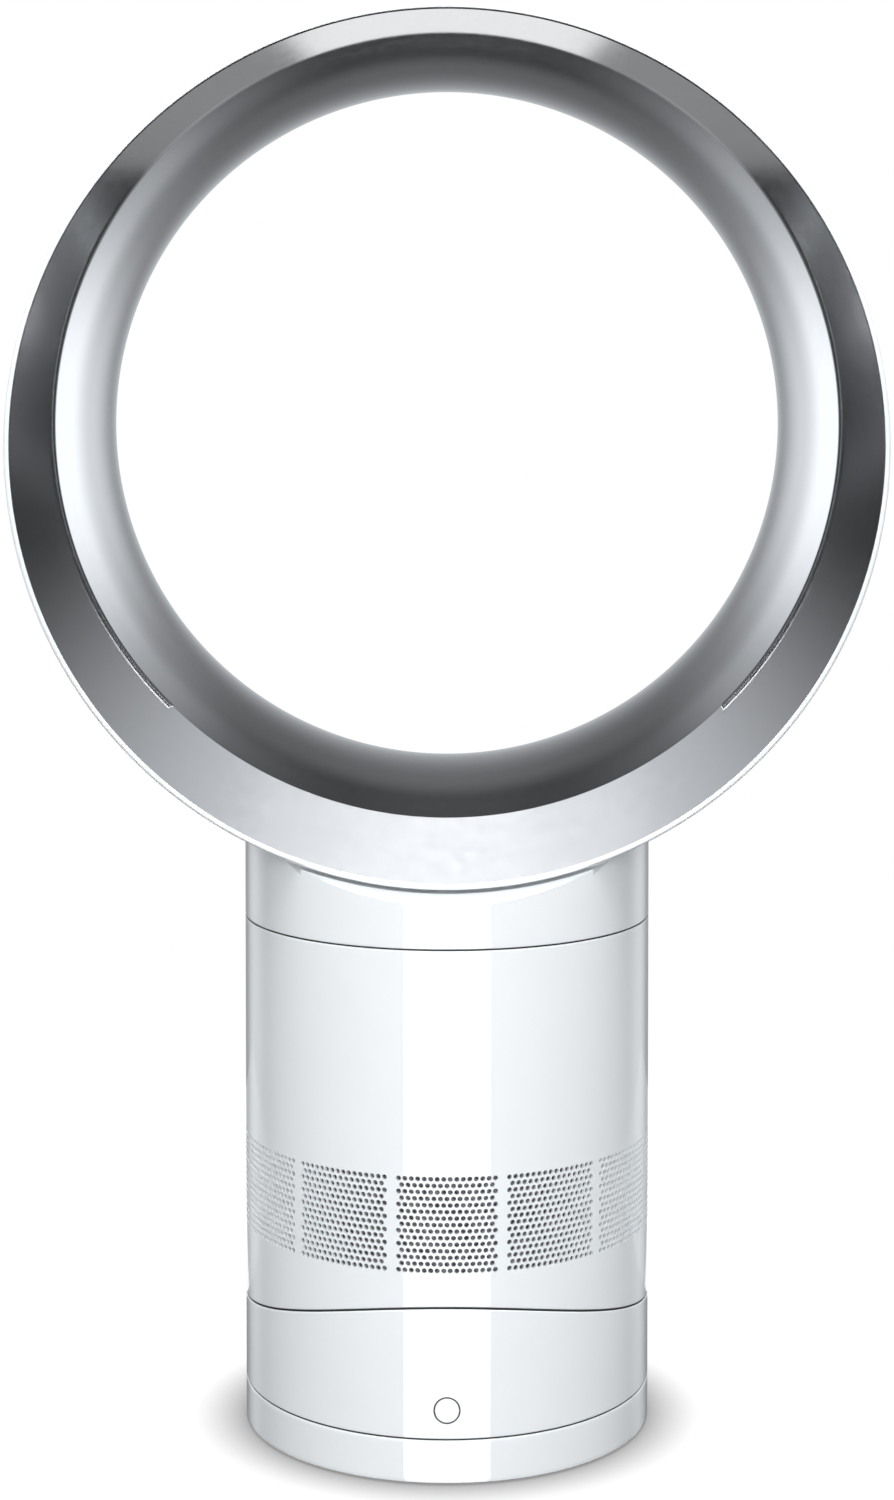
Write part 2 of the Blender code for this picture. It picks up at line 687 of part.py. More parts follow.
def build_bucket():
    seat_r = BEARING_R + GAP
    low_profile = [
        (seat_r, BUCKET_LOW_Z),
        (BUCKET_R - 0.0040, BUCKET_LOW_Z),
        (BUCKET_R, BUCKET_LOW_Z + 0.0040),
        (BUCKET_R, BUCKET_SPLIT_Z),
        (BUCKET_R - BUCKET_WALL, BUCKET_SPLIT_Z),
        (BUCKET_R - BUCKET_WALL, BUCKET_LOW_Z + 0.0045),
        (BUCKET_R - 0.0045, BUCKET_LOW_Z + BUCKET_WALL),
        (seat_r, BUCKET_LOW_Z + BUCKET_WALL),
    ]
    turned("motor_bucket_lower", low_profile, GREY, 24)

    split = BUCKET_SPLIT_Z + GAP
    top_profile = [
        (seat_r, BUCKET_TOP_Z),
        (0.0180, BUCKET_TOP_Z),
        (BUCKET_R - 0.0030, BUCKET_TOP_Z - 0.0040),
        (BUCKET_R, BUCKET_TOP_Z - 0.0090),
        (BUCKET_R, split),
        (BUCKET_R - BUCKET_WALL, split),
        (BUCKET_R - BUCKET_WALL, BUCKET_TOP_Z - 0.0095),
        (BUCKET_R - 0.0045, BUCKET_TOP_Z - 0.0055),
        (0.0175, BUCKET_TOP_Z - BUCKET_WALL),
        (seat_r, BUCKET_TOP_Z - BUCKET_WALL),
    ]
    diffuser = turned("diffuser_bucket_upper", top_profile, GREY, 24)
    ring = tube("ring", *VANE_RING_R, VANE_Z[0] - 0.0005, VANE_Z[1] + 0.0005, GREY, sides=32)
    vanes = []
    for i in range(DIFFUSER_VANES):
        vane = swept_blade(
            "vane",
            math.tau * i / DIFFUSER_VANES,
            VANE_SWEEP,
            VANE_Z,
            3,
            lambda z: BUCKET_R - 0.0008,
            lambda z: (VANE_RING_R[0] + VANE_RING_R[1]) / 2,
            BLADE_THICK,
            GREY,
        )
        vanes.append(vane)
    join(diffuser, ring, *vanes)


def swept_blade(name, start_angle, sweep, z_range, steps, inner_r, outer_r, thickness, spec):
    """A thin blade that turns by sweep round Z as it rises, between an inner and an outer radius."""
    rings = []
    for i in range(steps + 1):
        share = i / steps
        z = z_range[0] + (z_range[1] - z_range[0]) * share
        angle = start_angle + sweep * share
        ring = []
        for radius, side in ((inner_r(z), -1), (outer_r(z), -1), (outer_r(z), 1), (inner_r(z), 1)):
            x, y = on_circle(radius, angle + side * thickness / 2 / radius)
            ring.append((x, y, z))
        rings.append(ring)
    mesh = bmesh.new()
    made = [[mesh.verts.new(point) for point in ring] for ring in rings]
    for first, second in zip(made, made[1:]):
        for k in range(4):
            mesh.faces.new([first[k], first[(k + 1) % 4], second[(k + 1) % 4], second[k]])
    mesh.faces.new(made[0])
    mesh.faces.new(made[-1])
    return make_object(name, mesh, spec)


HUB_PROFILE_Z = (0.1130, 0.1395)
HUB_PROFILE_R = (0.0100, 0.0270)


def impeller_hub_radius(z):
    share = (z - HUB_PROFILE_Z[0]) / (HUB_PROFILE_Z[1] - HUB_PROFILE_Z[0])
    return HUB_PROFILE_R[0] + (HUB_PROFILE_R[1] - HUB_PROFILE_R[0]) * max(share, 0.0) ** 1.4


def build_rotor():
    """The impeller, the shaft and the magnet turn together."""
    low, high = HUB_PROFILE_Z
    steps = 4
    levels = [low + (high - low) * i / steps for i in range(steps + 1)]
    slope = [(impeller_hub_radius(z), z) for z in levels]
    bore_r = SHAFT_R + GAP
    hollow = [(HUB_PROFILE_R[1] - 0.0020, high), (0.0080, high - 0.0120), (bore_r, high - 0.0120)]
    impeller = turned("impeller", [(bore_r, low)] + slope + hollow, GREY, 28)
    blades = [
        swept_blade(
            "blade",
            math.tau * i / IMPELLER_BLADES,
            BLADE_SWEEP,
            (low + 0.0012, high - 0.0010),
            4,
            lambda z: impeller_hub_radius(z) - 0.0008,
            lambda z: shroud_radius(z) - BLADE_CLEARANCE,
            BLADE_THICK,
            GREY,
        )
        for i in range(IMPELLER_BLADES)
    ]
    join(impeller, *blades)
    rod("rotor_shaft", SHAFT_R, 0.1150, 0.1740, STEEL, sides=16)
    tube("rotor_magnet", SHAFT_R + GAP, 0.0080, 0.1500, 0.1660, MAGNET, sides=24)


STATOR_POLES = 4
# A coil's section round its pole: distance from the axis, half width, and height past the pole.
COIL_SECTION = (
    (0.0115, 0.0028, 0.0003),
    (0.0185, 0.0028, 0.0003),
    (0.0185, 0.0050, 0.0022),
    (0.0115, 0.0045, 0.0022),
)


def build_motor():
    bearing_bore = SHAFT_R + GAP
    for name, start in (("lower_bearing", BUCKET_LOW_Z - 0.0005), ("upper_bearing", BUCKET_TOP_Z - 0.0028)):
        tube(name, bearing_bore, BEARING_R, start, start + 0.0030, STEEL, sides=24)
    low, high = 0.1510, 0.1650
    stator = tube("motor_stator", 0.0195, 0.0225, low, high, STEEL, sides=32)
    poles = []
    for i in range(STATOR_POLES):
        angle = math.tau * i / STATOR_POLES
        pole = block("pole", (0.0092, -0.0025, low + 0.0010), (0.0200, 0.0025, high - 0.0010), STEEL)
        pole.data.transform(Matrix.Rotation(angle, 4, "Z"))
        poles.append(pole)
    join(stator, *poles)
    for i in range(STATOR_POLES):
        rings = []
        for depth, reach, rise in COIL_SECTION:
            coil_low = low + 0.0010 - rise
            coil_high = high - 0.0010 + rise
            lower = [(depth, -reach, coil_low), (depth, reach, coil_low)]
            upper = [(depth, reach, coil_high), (depth, -reach, coil_high)]
            rings.append(lower + upper)
        coil = loft(f"stator_coil_{i + 1}", rings, COPPER, closed_tube=True)
        coil.data.transform(Matrix.Rotation(math.tau * i / STATOR_POLES, 4, "Z"))
    tube("motor_driver_pcb", 0.0060, 0.0235, 0.1482, 0.1494, BOARD, sides=32)


def build_nose_foam():
    dome = [(0, 0.1880), (0.0120, 0.1870), (0.0200, 0.1800), (0.0215, 0.1755)]
    under = [(0.0060, 0.1755), (0.0060, 0.1760), (0, 0.1760)]
    turned("nose_foam", dome + under, FOAM, 32)


# ---------------------------------------------------------------- tilting head: loop


def loop_skin(name, section, spec):
    """A hollow ring. Each point of the section is (y, radius, height of the circle's centre)."""
    rings = []
    for y, radius, centre_z in section:
        angles = [math.tau * i / LOOP_SIDES for i in range(LOOP_SIDES)]
        rings.append([(radius * math.cos(a), y, centre_z + radius * math.sin(a)) for a in angles])
    return loft(name, rings, spec, closed_tube=True)


def build_outer_casing():
    wall = LOOP_WALL
    middle_z = (LOOP_Z + BORE_Z) / 2
    section = [
        (LOOP_FRONT_Y, LOOP_R, LOOP_Z),
        (0.0400, LOOP_R, LOOP_Z),
        (0.0490, LOOP_R - 0.0030, LOOP_Z),
        (LOOP_BACK_Y, LOOP_R - 0.0095, middle_z),
        (LOOP_BACK_Y, 0.1340, BORE_Z),
        (0.0500, 0.1268, BORE_Z),
        (0.0452, 0.1254, BORE_Z),
        (0.0452, 0.1266, BORE_Z),
        (0.0502, 0.1290, BORE_Z),
        (LOOP_BACK_Y - wall, 0.1345, BORE_Z),
        (LOOP_BACK_Y - wall, LOOP_R - 0.0105, middle_z),
        (0.0475, LOOP_R - 0.0048, LOOP_Z),
        (0.0395, LOOP_R - wall, LOOP_Z),
        (LOOP_FRONT_Y, LOOP_R - wall, LOOP_Z),
    ]
    casing = loop_skin("nozzle_outer_casing", section, WHITE)

    neck = rod("neck", BODY_R, NECK_SEAM_Z + SEAM_GAP / 2, 0.2600, WHITE, sides=SIDES_LARGE)
    above = [
        (0, BODY_R + 0.0001),
        (LOOP_R + LEDGE_GAP_FAR, BODY_R + 0.0001),
        (LOOP_R + LEDGE_GAP, LOOP_BACK_Y),
        (LOOP_R + LEDGE_GAP, NECK_JOIN_Y),
        (LOOP_R - wall / 2, NECK_JOIN_Y),
    ]
    above += [(radius, -y) for radius, y in reversed(above)]
    cut(neck, turned("above", above, WHITE, LOOP_SIDES, "Y", (0, 0, LOOP_Z)))
    cavity = rod("cavity", BODY_INNER_R, 0.1700, 0.2600, WHITE, sides=SIDES_LARGE)
    cut(cavity, rod("roof", LOOP_R + NECK_ROOF, -0.1, 0.1, WHITE, "Y", (0, 0, LOOP_Z), sides=LOOP_SIDES))
    cut(neck, cavity)
    join(casing, neck)
    port = block("port", (-0.0480, -0.0400, 0.1900), (0.0480, 0.0340, 0.2120), WHITE)
    cut(casing, port)


def build_inner_casing():
    rim_r = LOOP_R - LOOP_WALL - GAP
    bore = [
        (LIP_Y, LIP_R),
        (LIP_Y + 0.0016, LIP_R - 0.0002),
        (-0.0180, 0.1305),
        (0.0000, 0.1269),
        (0.0150, 0.1244),
        (THROAT_Y, THROAT_R),
        (0.0400, 0.1237),
        (0.0432, 0.1260),
        (0.0470, 0.1285),
    ]
    back = [
        (0.0470, 0.1300),
        (0.0424, 0.1278),
        (0.0390, 0.1254),
        (0.0340, 0.1247),
        (-0.0100, 0.1303),
        (LIP_Y + 0.0030, LIP_R + 0.0008),
    ]
    section = [(LOOP_FRONT_Y + 0.0004, rim_r, LOOP_Z)]
    section += [(y, radius, BORE_Z) for y, radius in bore + back]
    section.append((LOOP_FRONT_Y + 0.0030, rim_r, LOOP_Z))
    loop_skin("nozzle_inner_casing", section, NICKEL)


def build_neck_seal():
    tube("neck_seal", 0.0675, BODY_INNER_R - GAP, BODY_TOP - 0.0030, BODY_TOP + 0.0001, RUBBER)


def build_head():
    build_motor_body_shell()
    build_bottom_plate()
    build_tilt_runners()
    build_lower_foam()
    build_platform_and_housing()
    build_bucket()
    build_rotor()
    build_motor()
    build_nose_foam()
    build_neck_seal()
    build_outer_casing()
    build_inner_casing()


clear_scene()
build_foot()
build_control_base()
build_head()
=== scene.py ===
"""Looks of a bladeless desk fan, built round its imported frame.

Glossy white shells with a perforated air intake, a satin nickel duct inside the loop, and soft studio
light. Metres, +Z up. The front faces -Y.
"""

import json
import math

import bmesh
import bpy
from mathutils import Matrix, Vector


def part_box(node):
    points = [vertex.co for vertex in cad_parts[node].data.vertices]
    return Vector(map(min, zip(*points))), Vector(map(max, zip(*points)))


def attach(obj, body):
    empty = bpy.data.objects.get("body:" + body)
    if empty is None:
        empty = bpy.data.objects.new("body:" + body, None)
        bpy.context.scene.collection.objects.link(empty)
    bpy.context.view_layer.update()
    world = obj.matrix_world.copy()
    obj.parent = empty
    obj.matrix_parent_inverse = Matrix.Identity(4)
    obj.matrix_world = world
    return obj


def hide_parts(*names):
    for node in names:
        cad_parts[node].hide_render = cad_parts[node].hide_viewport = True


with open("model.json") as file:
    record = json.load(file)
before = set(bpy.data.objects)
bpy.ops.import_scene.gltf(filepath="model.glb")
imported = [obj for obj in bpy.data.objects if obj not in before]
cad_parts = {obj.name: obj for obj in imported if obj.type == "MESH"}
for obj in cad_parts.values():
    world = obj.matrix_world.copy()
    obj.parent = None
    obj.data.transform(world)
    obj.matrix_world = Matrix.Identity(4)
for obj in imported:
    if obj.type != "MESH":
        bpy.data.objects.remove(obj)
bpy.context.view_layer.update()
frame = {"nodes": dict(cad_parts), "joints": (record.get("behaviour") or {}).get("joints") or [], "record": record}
record = frame["record"]

# ---------------------------------------------------------------- sizes

# Moulded edges are rounded by EDGE. SUPPORT is how far from an edge the next level lies, to keep faces flat.
EDGE = 0.00025
EDGE_STEPS = 3
SUPPORT = 3 * EDGE
SHARP_ANGLE = math.radians(35)
WALL_COLUMNS = 240
HOLE_PATCH_STEPS = 8

SKIN = 0.0022
SEAM_GAP = 0.0006
SADDLE_GAP = 0.0007

# The column's wall is thinner than SKIN, so that the dark lining shows through its small holes. The lining is
# painted shade: a dark sleeve that stands in for the shade inside the column.
COLUMN_SKIN = 0.0010
SHADE_LINING_GAP = 0.0002
SHADE_LINING_THICK = 0.0008
SHADE_LINING_MARGIN = 0.0015
# Gap between the black strips of painted shade and the walls of the seams.
SHADE_STRIP_GAP = 0.00006

BODY_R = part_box("base_shell")[1].x
# Radii of the black strips of painted shade in the seams, and the depth of the one round the button.
SHADE_STRIP_INNER_R = BODY_R - 0.0020
SHADE_STRIP_OUTER_R = BODY_R - 0.0004
BUTTON_SHADE_DEPTH = 0.0010
BASE_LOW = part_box("base_shell")[0].z
FOOT_TOP = BASE_LOW - SEAM_GAP
FOOT_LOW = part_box("foot_shell")[0].z
BODY_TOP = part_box("motor_body_shell")[1].z
NECK_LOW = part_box("nozzle_outer_casing")[0].z

joints = {joint["name"]: joint for joint in frame["joints"]}
TILT_AXIS_Z = joints["tilt"]["pos_m"][2]
SADDLE_R = TILT_AXIS_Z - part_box("motor_body_shell")[0].z
BASE_SADDLE_R = SADDLE_R + SADDLE_GAP

LOOP_SIDES = 432
LOOP_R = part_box("nozzle_outer_casing")[1].x
LOOP_Z = 0.3493
LOOP_FRONT_Y = -0.0530
LOOP_BACK_Y = -LOOP_FRONT_Y
LOOP_WALL = 0.0018
RIM_ROUND = 0.0011
BACK_ROUND = 0.0105
OUTLET_R = 0.1340
LEAN_FROM_R = LOOP_R - 0.0010
LEAN_TO_R = 0.1330
BORE_Z = 0.3564
LIP_R = 0.1356
LIP_Y = -0.0367
THROAT_R = 0.1229
THROAT_Y = 0.0360
BEVEL_STEPS = 8
PATH_STEPS = 8
DUCT_OUTER_R = LOOP_R - LOOP_WALL - 0.0002
DUCT_FRONT_Y = LOOP_FRONT_Y + 0.0003
DUCT_EDGE_THICK = 0.0026

# The neck ends in a ledge just under the loop. The groove between them fades out to the sides.
LEDGE_NEAR_R = LOOP_R + 0.0012
LEDGE_FAR_R = LOOP_R + 0.0019
LEDGE_STEP_Y = LOOP_BACK_Y - 0.0005
GROOVE_Y = 0.0465
GROOVE_R = LOOP_R + 0.0036
NECK_ROOF_R = LOOP_R + 0.0050
NECK_TOOL_Y = 0.09
NECK_TOOL_TOP = 0.26
NECK_BORE_LOW = 0.17
NECK_TOOL_SIDES = 360

INTAKE_PANELS = 12
INTAKE_LOW = 0.0720
HOLE_PITCH_ANGLE = math.radians(1.74)
HOLE_ROW_PITCH = 0.00222
HOLE_ROWS = 15
HOLES_ACROSS = 16
HOLE_R = 0.00088
HOLE_SIDES = 12
LEVELS_BELOW_INTAKE = 6
LEVELS_ABOVE_INTAKE = 10

BUTTON_LOW, BUTTON_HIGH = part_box("power_button")
BUTTON_Z = (BUTTON_LOW.z + BUTTON_HIGH.z) / 2
BUTTON_HOLE_R = 0.0046
BUTTON_R = 0.0041
BUTTON_SIDES = 48
FLANGE_R = 0.0056
FLANGE_FRONT_Y = -0.0697
FLANGE_BACK_Y = -0.0683
STEM_R = 0.0020
STEM_END_Y = -0.0655
BUTTON_PATCH = 1.5 * BUTTON_R
LEVELS_ABOVE_BUTTON = 5
INLET_GAP = 0.0003
INLET_LOW, INLET_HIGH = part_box("dc_inlet")
INLET_Z = (INLET_LOW.z + INLET_HIGH.z) / 2
INLET_R = (INLET_HIGH.z - INLET_LOW.z) / 2
INLET_HOLE_R = INLET_R + INLET_GAP
INLET_PATCH = 1.2 * INLET_HOLE_R
FOOT_FIRST_LEVEL = FOOT_LOW + 0.0015

FRONT = -math.pi / 2
REAR = math.pi / 2

# ---------------------------------------------------------------- camera, floor and light

CAMERA_PLACE = (0.0, -1.0119, 0.3718)
CAMERA_PITCH = math.radians(-1.92)
CAMERA_LENS = 67.7
CAMERA_SENSOR = 36.0
CAMERA_SHIFT = -0.1818

FLOOR_FADE_FROM = 0.35
FLOOR_R = 0.75
# Painted contact shadow on the floor: how far the occlusion reaches, the occlusion range it spans, and its darkest
# glow.
CONTACT_REACH = 0.024
CONTACT_OPEN = (0.45, 0.98)
CONTACT_SHADOW_DARKEST = 0.30

# Bright patches of the room, in degrees: azimuth (0 is +Y, 90 is +X), elevation, the angles from the middle
# at which the patch starts to fade and is gone, and its strength. Each side lobe is also mirrored.
SIDE_LOBES = [
    (40, 0, 2, 24, 1.15),
    (39, 15, 0, 22, 0.58),
    (39, -15, 0, 22, 0.58),
    (33, 30, 0, 20, 0.15),
    (33, -30, 0, 20, 0.25),
]
MIDDLE_LOBES = [
    (0, 0, 0, 37, 0.62),
    (0, 28, 0, 20, 0.06),
    (180, 65, 20, 80, 0.70),
]
WORLD_DIM = 0.045
ROOM_TONE = (0.94, 0.97, 1.0, 1.0)
WHITE_TONE = (1.0, 1.0, 1.0, 1.0)


# ---------------------------------------------------------------- materials


class Nodes:
    """A material's node tree, with short ways to add and join nodes."""

    def __init__(self, name):
        self.material = bpy.data.materials.new(name)
        self.material.use_nodes = True
        self.tree = self.material.node_tree
        self.shader = self.tree.nodes["Principled BSDF"]
        self.place = self.add("ShaderNodeTexCoord").outputs["Object"]

    def add(self, kind, **inputs):
        node = self.tree.nodes.new(kind)
        for name, value in inputs.items():
            self.feed(node, name.replace("_", " "), value)
        return node

    def feed(self, node, socket, value):
        if isinstance(value, bpy.types.NodeSocket):
            self.tree.links.new(value, node.inputs[socket])
        else:
            node.inputs[socket].default_value = value

    def noise(self, scale, detail=2.0, stretch=None):
        place = self.place
        if stretch:
            place = self.add("ShaderNodeMapping", Vector=place, Scale=stretch).outputs["Vector"]
        return self.add("ShaderNodeTexNoise", Vector=place, Scale=scale, Detail=detail).outputs["Fac"]

    def spread(self, factor, low, high):
        """Maps a noise, which stays near the middle of 0 to 1, onto low to high."""
        node = self.add("ShaderNodeMapRange", Value=factor)
        node.inputs["From Min"].default_value = 0.3
        node.inputs["From Max"].default_value = 0.7
        node.inputs["To Min"].default_value = low
        node.inputs["To Max"].default_value = high
        return node.outputs["Result"]

    def blend(self, factor, first, second):
        ramp = self.add("ShaderNodeValToRGB", Fac=factor)
        ramp.color_ramp.elements[0].position = 0.3
        ramp.color_ramp.elements[1].position = 0.7
        ramp.color_ramp.elements[0].color = (*first, 1.0)
        ramp.color_ramp.elements[1].color = (*second, 1.0)
        return ramp.outputs["Color"]

    def bump(self, height, distance, strength=1.0):
        node = self.add("ShaderNodeBump", Height=height, Distance=distance, Strength=strength)
        self.feed(self.shader, "Normal", node.outputs["Normal"])


def shaded(colour, share):
    return tuple(channel * share for channel in colour)


def moulded(name, colour, roughness, grain=2500.0, relief=0.000004, coat=0.0, metallic=0.0, tint=0.03):
    """Plastic or metal with a slight drift of tone, an uneven polish and a fine grain."""
    nodes = Nodes(name)
    tone = nodes.blend(nodes.noise(60.0), shaded(colour, 1 - tint), colour)
    polish = nodes.spread(nodes.noise(220.0, 4.0), roughness * 0.85, roughness * 1.15)
    nodes.feed(nodes.shader, "Base Color", tone)
    nodes.feed(nodes.shader, "Roughness", polish)
    nodes.shader.inputs["Metallic"].default_value = metallic
    nodes.shader.inputs["Coat Weight"].default_value = coat
    nodes.shader.inputs["Coat Roughness"].default_value = 0.012
    nodes.shader.inputs["Specular IOR Level"].default_value = 0.5 - 0.5 * coat
    nodes.bump(nodes.noise(grain, 3.0), relief)
    return nodes.material


def foam_material():
    nodes = Nodes("acoustic_foam")
    cells = nodes.add("ShaderNodeTexVoronoi", Vector=nodes.place, Scale=900.0).outputs["Distance"]
    nodes.feed(nodes.shader, "Base Color", nodes.blend(cells, (0.05, 0.05, 0.055), (0.20, 0.20, 0.21)))
    nodes.shader.inputs["Roughness"].default_value = 0.95
    nodes.bump(cells, 0.0004)
    return nodes.material


def board_material():
    """Green solder mask over straight tracks."""
    nodes = Nodes("circuit_board")
    tracks = nodes.add("ShaderNodeTexWave", Vector=nodes.place, Scale=160.0, Distortion=1.5).outputs["Fac"]
    nodes.feed(nodes.shader, "Base Color", nodes.blend(tracks, (0.01, 0.10, 0.05), (0.03, 0.22, 0.11)))
    nodes.feed(nodes.shader, "Roughness", nodes.spread(nodes.noise(400.0), 0.35, 0.5))
    nodes.bump(tracks, 0.00003)
    return nodes.material


def copper_material():
    """Enamelled wire laid side by side."""
    nodes = Nodes("copper_wire")
    wires = nodes.add("ShaderNodeTexWave", Vector=nodes.place, Scale=900.0, Distortion=0.3).outputs["Fac"]
    nodes.feed(nodes.shader, "Base Color", nodes.blend(wires, (0.45, 0.16, 0.07), (0.80, 0.40, 0.20)))
    nodes.shader.inputs["Metallic"].default_value = 1.0
    nodes.shader.inputs["Roughness"].default_value = 0.3
    nodes.bump(wires, 0.0001)
    return nodes.material


def steel_material():
    """Zinc plate with fine turning marks round the vertical axis."""
    nodes = Nodes("steel")
    marks = nodes.noise(120.0, 4.0, stretch=(1.0, 1.0, 40.0))
    nodes.feed(nodes.shader, "Base Color", nodes.blend(marks, (0.52, 0.52, 0.53), (0.66, 0.66, 0.67)))
    nodes.shader.inputs["Metallic"].default_value = 1.0
    nodes.feed(nodes.shader, "Roughness", nodes.spread(marks, 0.24, 0.4))
    nodes.bump(marks, 0.00002)
    return nodes.material


def nickel_material():
    """A satin metallic coat: even in tone, with a very fine sparkle."""
    nodes = Nodes("satin_nickel")
    flake = nodes.noise(9000.0, 1.0)
    nodes.feed(nodes.shader, "Base Color", nodes.blend(flake, (0.69, 0.695, 0.71), (0.73, 0.735, 0.75)))
    nodes.shader.inputs["Metallic"].default_value = 1.0
    nodes.feed(nodes.shader, "Roughness", nodes.spread(nodes.noise(300.0, 3.0), 0.13, 0.16))
    nodes.bump(flake, 0.0000008)
    return nodes.material


WHITE = (0.855, 0.882, 0.902)
MATERIALS = {
    "white_gloss_plastic": moulded("white_gloss_plastic", WHITE, 0.22, 1200.0, 0.000001, 1.0, tint=0.012),
    "satin_nickel": nickel_material(),
    "grey_plastic": moulded("grey_plastic", (0.24, 0.245, 0.26), 0.45, 3500.0, 0.00002),
    "black_plastic": moulded("black_plastic", (0.02, 0.02, 0.023), 0.35, 3500.0, 0.00001, tint=0.2),
    "acetal": moulded("acetal", (0.80, 0.79, 0.74), 0.35, 1500.0, 0.000004),
    "rubber": moulded("rubber", (0.03, 0.03, 0.031), 0.75, 5000.0, 0.00003, tint=0.3),
    "acoustic_foam": foam_material(),
    "circuit_board": board_material(),
    "copper_wire": copper_material(),
    "magnet": moulded("magnet", (0.12, 0.12, 0.13), 0.4, 2500.0, 0.00001, metallic=1.0, tint=0.15),
    "steel": steel_material(),
}


# ---------------------------------------------------------------- mesh making


def make_piece(name, points, faces, slot):
    """An object from points and faces, with its faces turned outward and its round faces shaded smooth."""
    mesh = bpy.data.meshes.new(name)
    mesh.from_pydata(points, [], faces)
    work = bmesh.new()
    work.from_mesh(mesh)
    bmesh.ops.recalc_face_normals(work, faces=work.faces)
    work.to_mesh(mesh)
    work.free()
    mesh.materials.append(MATERIALS[slot])
    smooth(mesh)
    obj = bpy.data.objects.new(name, mesh)
    bpy.context.scene.collection.objects.link(obj)
    return obj


def smooth(mesh):
    mesh.shade_smooth()
    mesh.set_sharp_from_angle(angle=SHARP_ANGLE)


def ring_faces(sides, count):
    """Quads of a closed ring, from points listed section by section, with count points in each."""
    faces = []
    for i in range(sides):
        j = (i + 1) % sides
        for k in range(count):
            m = (k + 1) % count
            faces.append([i * count + k, j * count + k, j * count + m, i * count + m])
    return faces


def stand_in(piece, body, slot, *nodes):
    """The piece replaces CAD nodes on their body."""
    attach(piece, body)
    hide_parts(*nodes)


def added(piece, body):
    """A piece with no CAD node of its own."""
    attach(piece, body)


def arc(centre, radii, start, end, steps):
    """Points of an ellipse's arc, from one angle in degrees to another."""
    angles = [math.radians(start + (end - start) * i / steps) for i in range(steps + 1)]
    return [(centre[0] + radii[0] * math.cos(a), centre[1] + radii[1] * math.sin(a)) for a in angles]


def between(first, last, steps):
    """Even levels from first to last, both included."""
    return [first + (last - first) * i / steps for i in range(steps + 1)]


def smooth_path(points, steps):
    """A smooth curve through points, by cubic Hermite spans with averaged slopes."""
    ahead = tuple(2 * a - b for a, b in zip(points[0], points[1]))
    beyond = tuple(2 * a - b for a, b in zip(points[-1], points[-2]))
    padded = [ahead, *points, beyond]
    path = []
    for before, start, end, after in zip(padded, padded[1:], padded[2:], padded[3:]):
        corners = list(zip(before, start, end, after))
        for step in range(steps):
            t = step / steps
            h0 = 2 * t**3 - 3 * t**2 + 1
            h1 = t**3 - 2 * t**2 + t
            h2 = -2 * t**3 + 3 * t**2
            h3 = t**3 - t**2
            place = (h0 * b + h1 * (c - a) / 2 + h2 * c + h3 * (d - b) / 2 for a, b, c, d in corners)
            path.append(tuple(place))
    path.append(points[-1])
    return path


def turned(name, profile, slot, sides=LOOP_SIDES, axis="Z", centre=(0, 0, 0)):
    """A solid turned about Z or Y from (radius, height) points, of which the ends lie on the axis."""
    points = []
    rings = []
    for radius, height in profile:
        count = sides if radius > 0 else 1
        ring = []
        for i in range(count):
            a = math.tau * i / sides
            across, up = radius * math.cos(a), radius * math.sin(a)
            place = (across, up, height) if axis == "Z" else (across, height, up)
            ring.append(len(points))
            points.append(tuple(place[k] + centre[k] for k in range(3)))
        rings.append(ring)
    faces = []
    for lower, upper in zip(rings, rings[1:]):
        for i in range(sides):
            corners = [lower[i % len(lower)], lower[(i + 1) % len(lower)]]
            corners += [upper[(i + 1) % len(upper)], upper[i % len(upper)]]
            corners = list(dict.fromkeys(corners))
            if len(corners) > 2:
                faces.append(corners)
    return make_piece(name, points, faces, slot)


def boolean(target, operation, tool):
    """Joins the tool to the target or cuts it out, and removes the tool."""
    modifier = target.modifiers.new(operation.title(), "BOOLEAN")
    modifier.operation = operation
    modifier.object = tool
    graph = bpy.context.evaluated_depsgraph_get()
    mesh = bpy.data.meshes.new_from_object(target.evaluated_get(graph))
    target.modifiers.clear()
    target.data = mesh
    smooth(mesh)
    bpy.data.objects.remove(tool, do_unlink=True)


# ---------------------------------------------------------------- round walls of the column


def wall_section(low, high, levels, skin, inner_high):
    """A wall's closed section of (radius, height): lower edge, outer levels, upper edge, inner levels."""
    inner_r = BODY_R - skin
    section = arc((BODY_R - EDGE, low + EDGE), (EDGE, EDGE), -90, 0, EDGE_STEPS)
    section += [(BODY_R, z) for z in levels]
    section += arc((BODY_R - EDGE, high - EDGE), (EDGE, EDGE), 0, 90, EDGE_STEPS)
    section.append((inner_r, inner_high))
    section += [(inner_r, z) for z in reversed(levels)]
    section.append((inner_r, low))
    return section


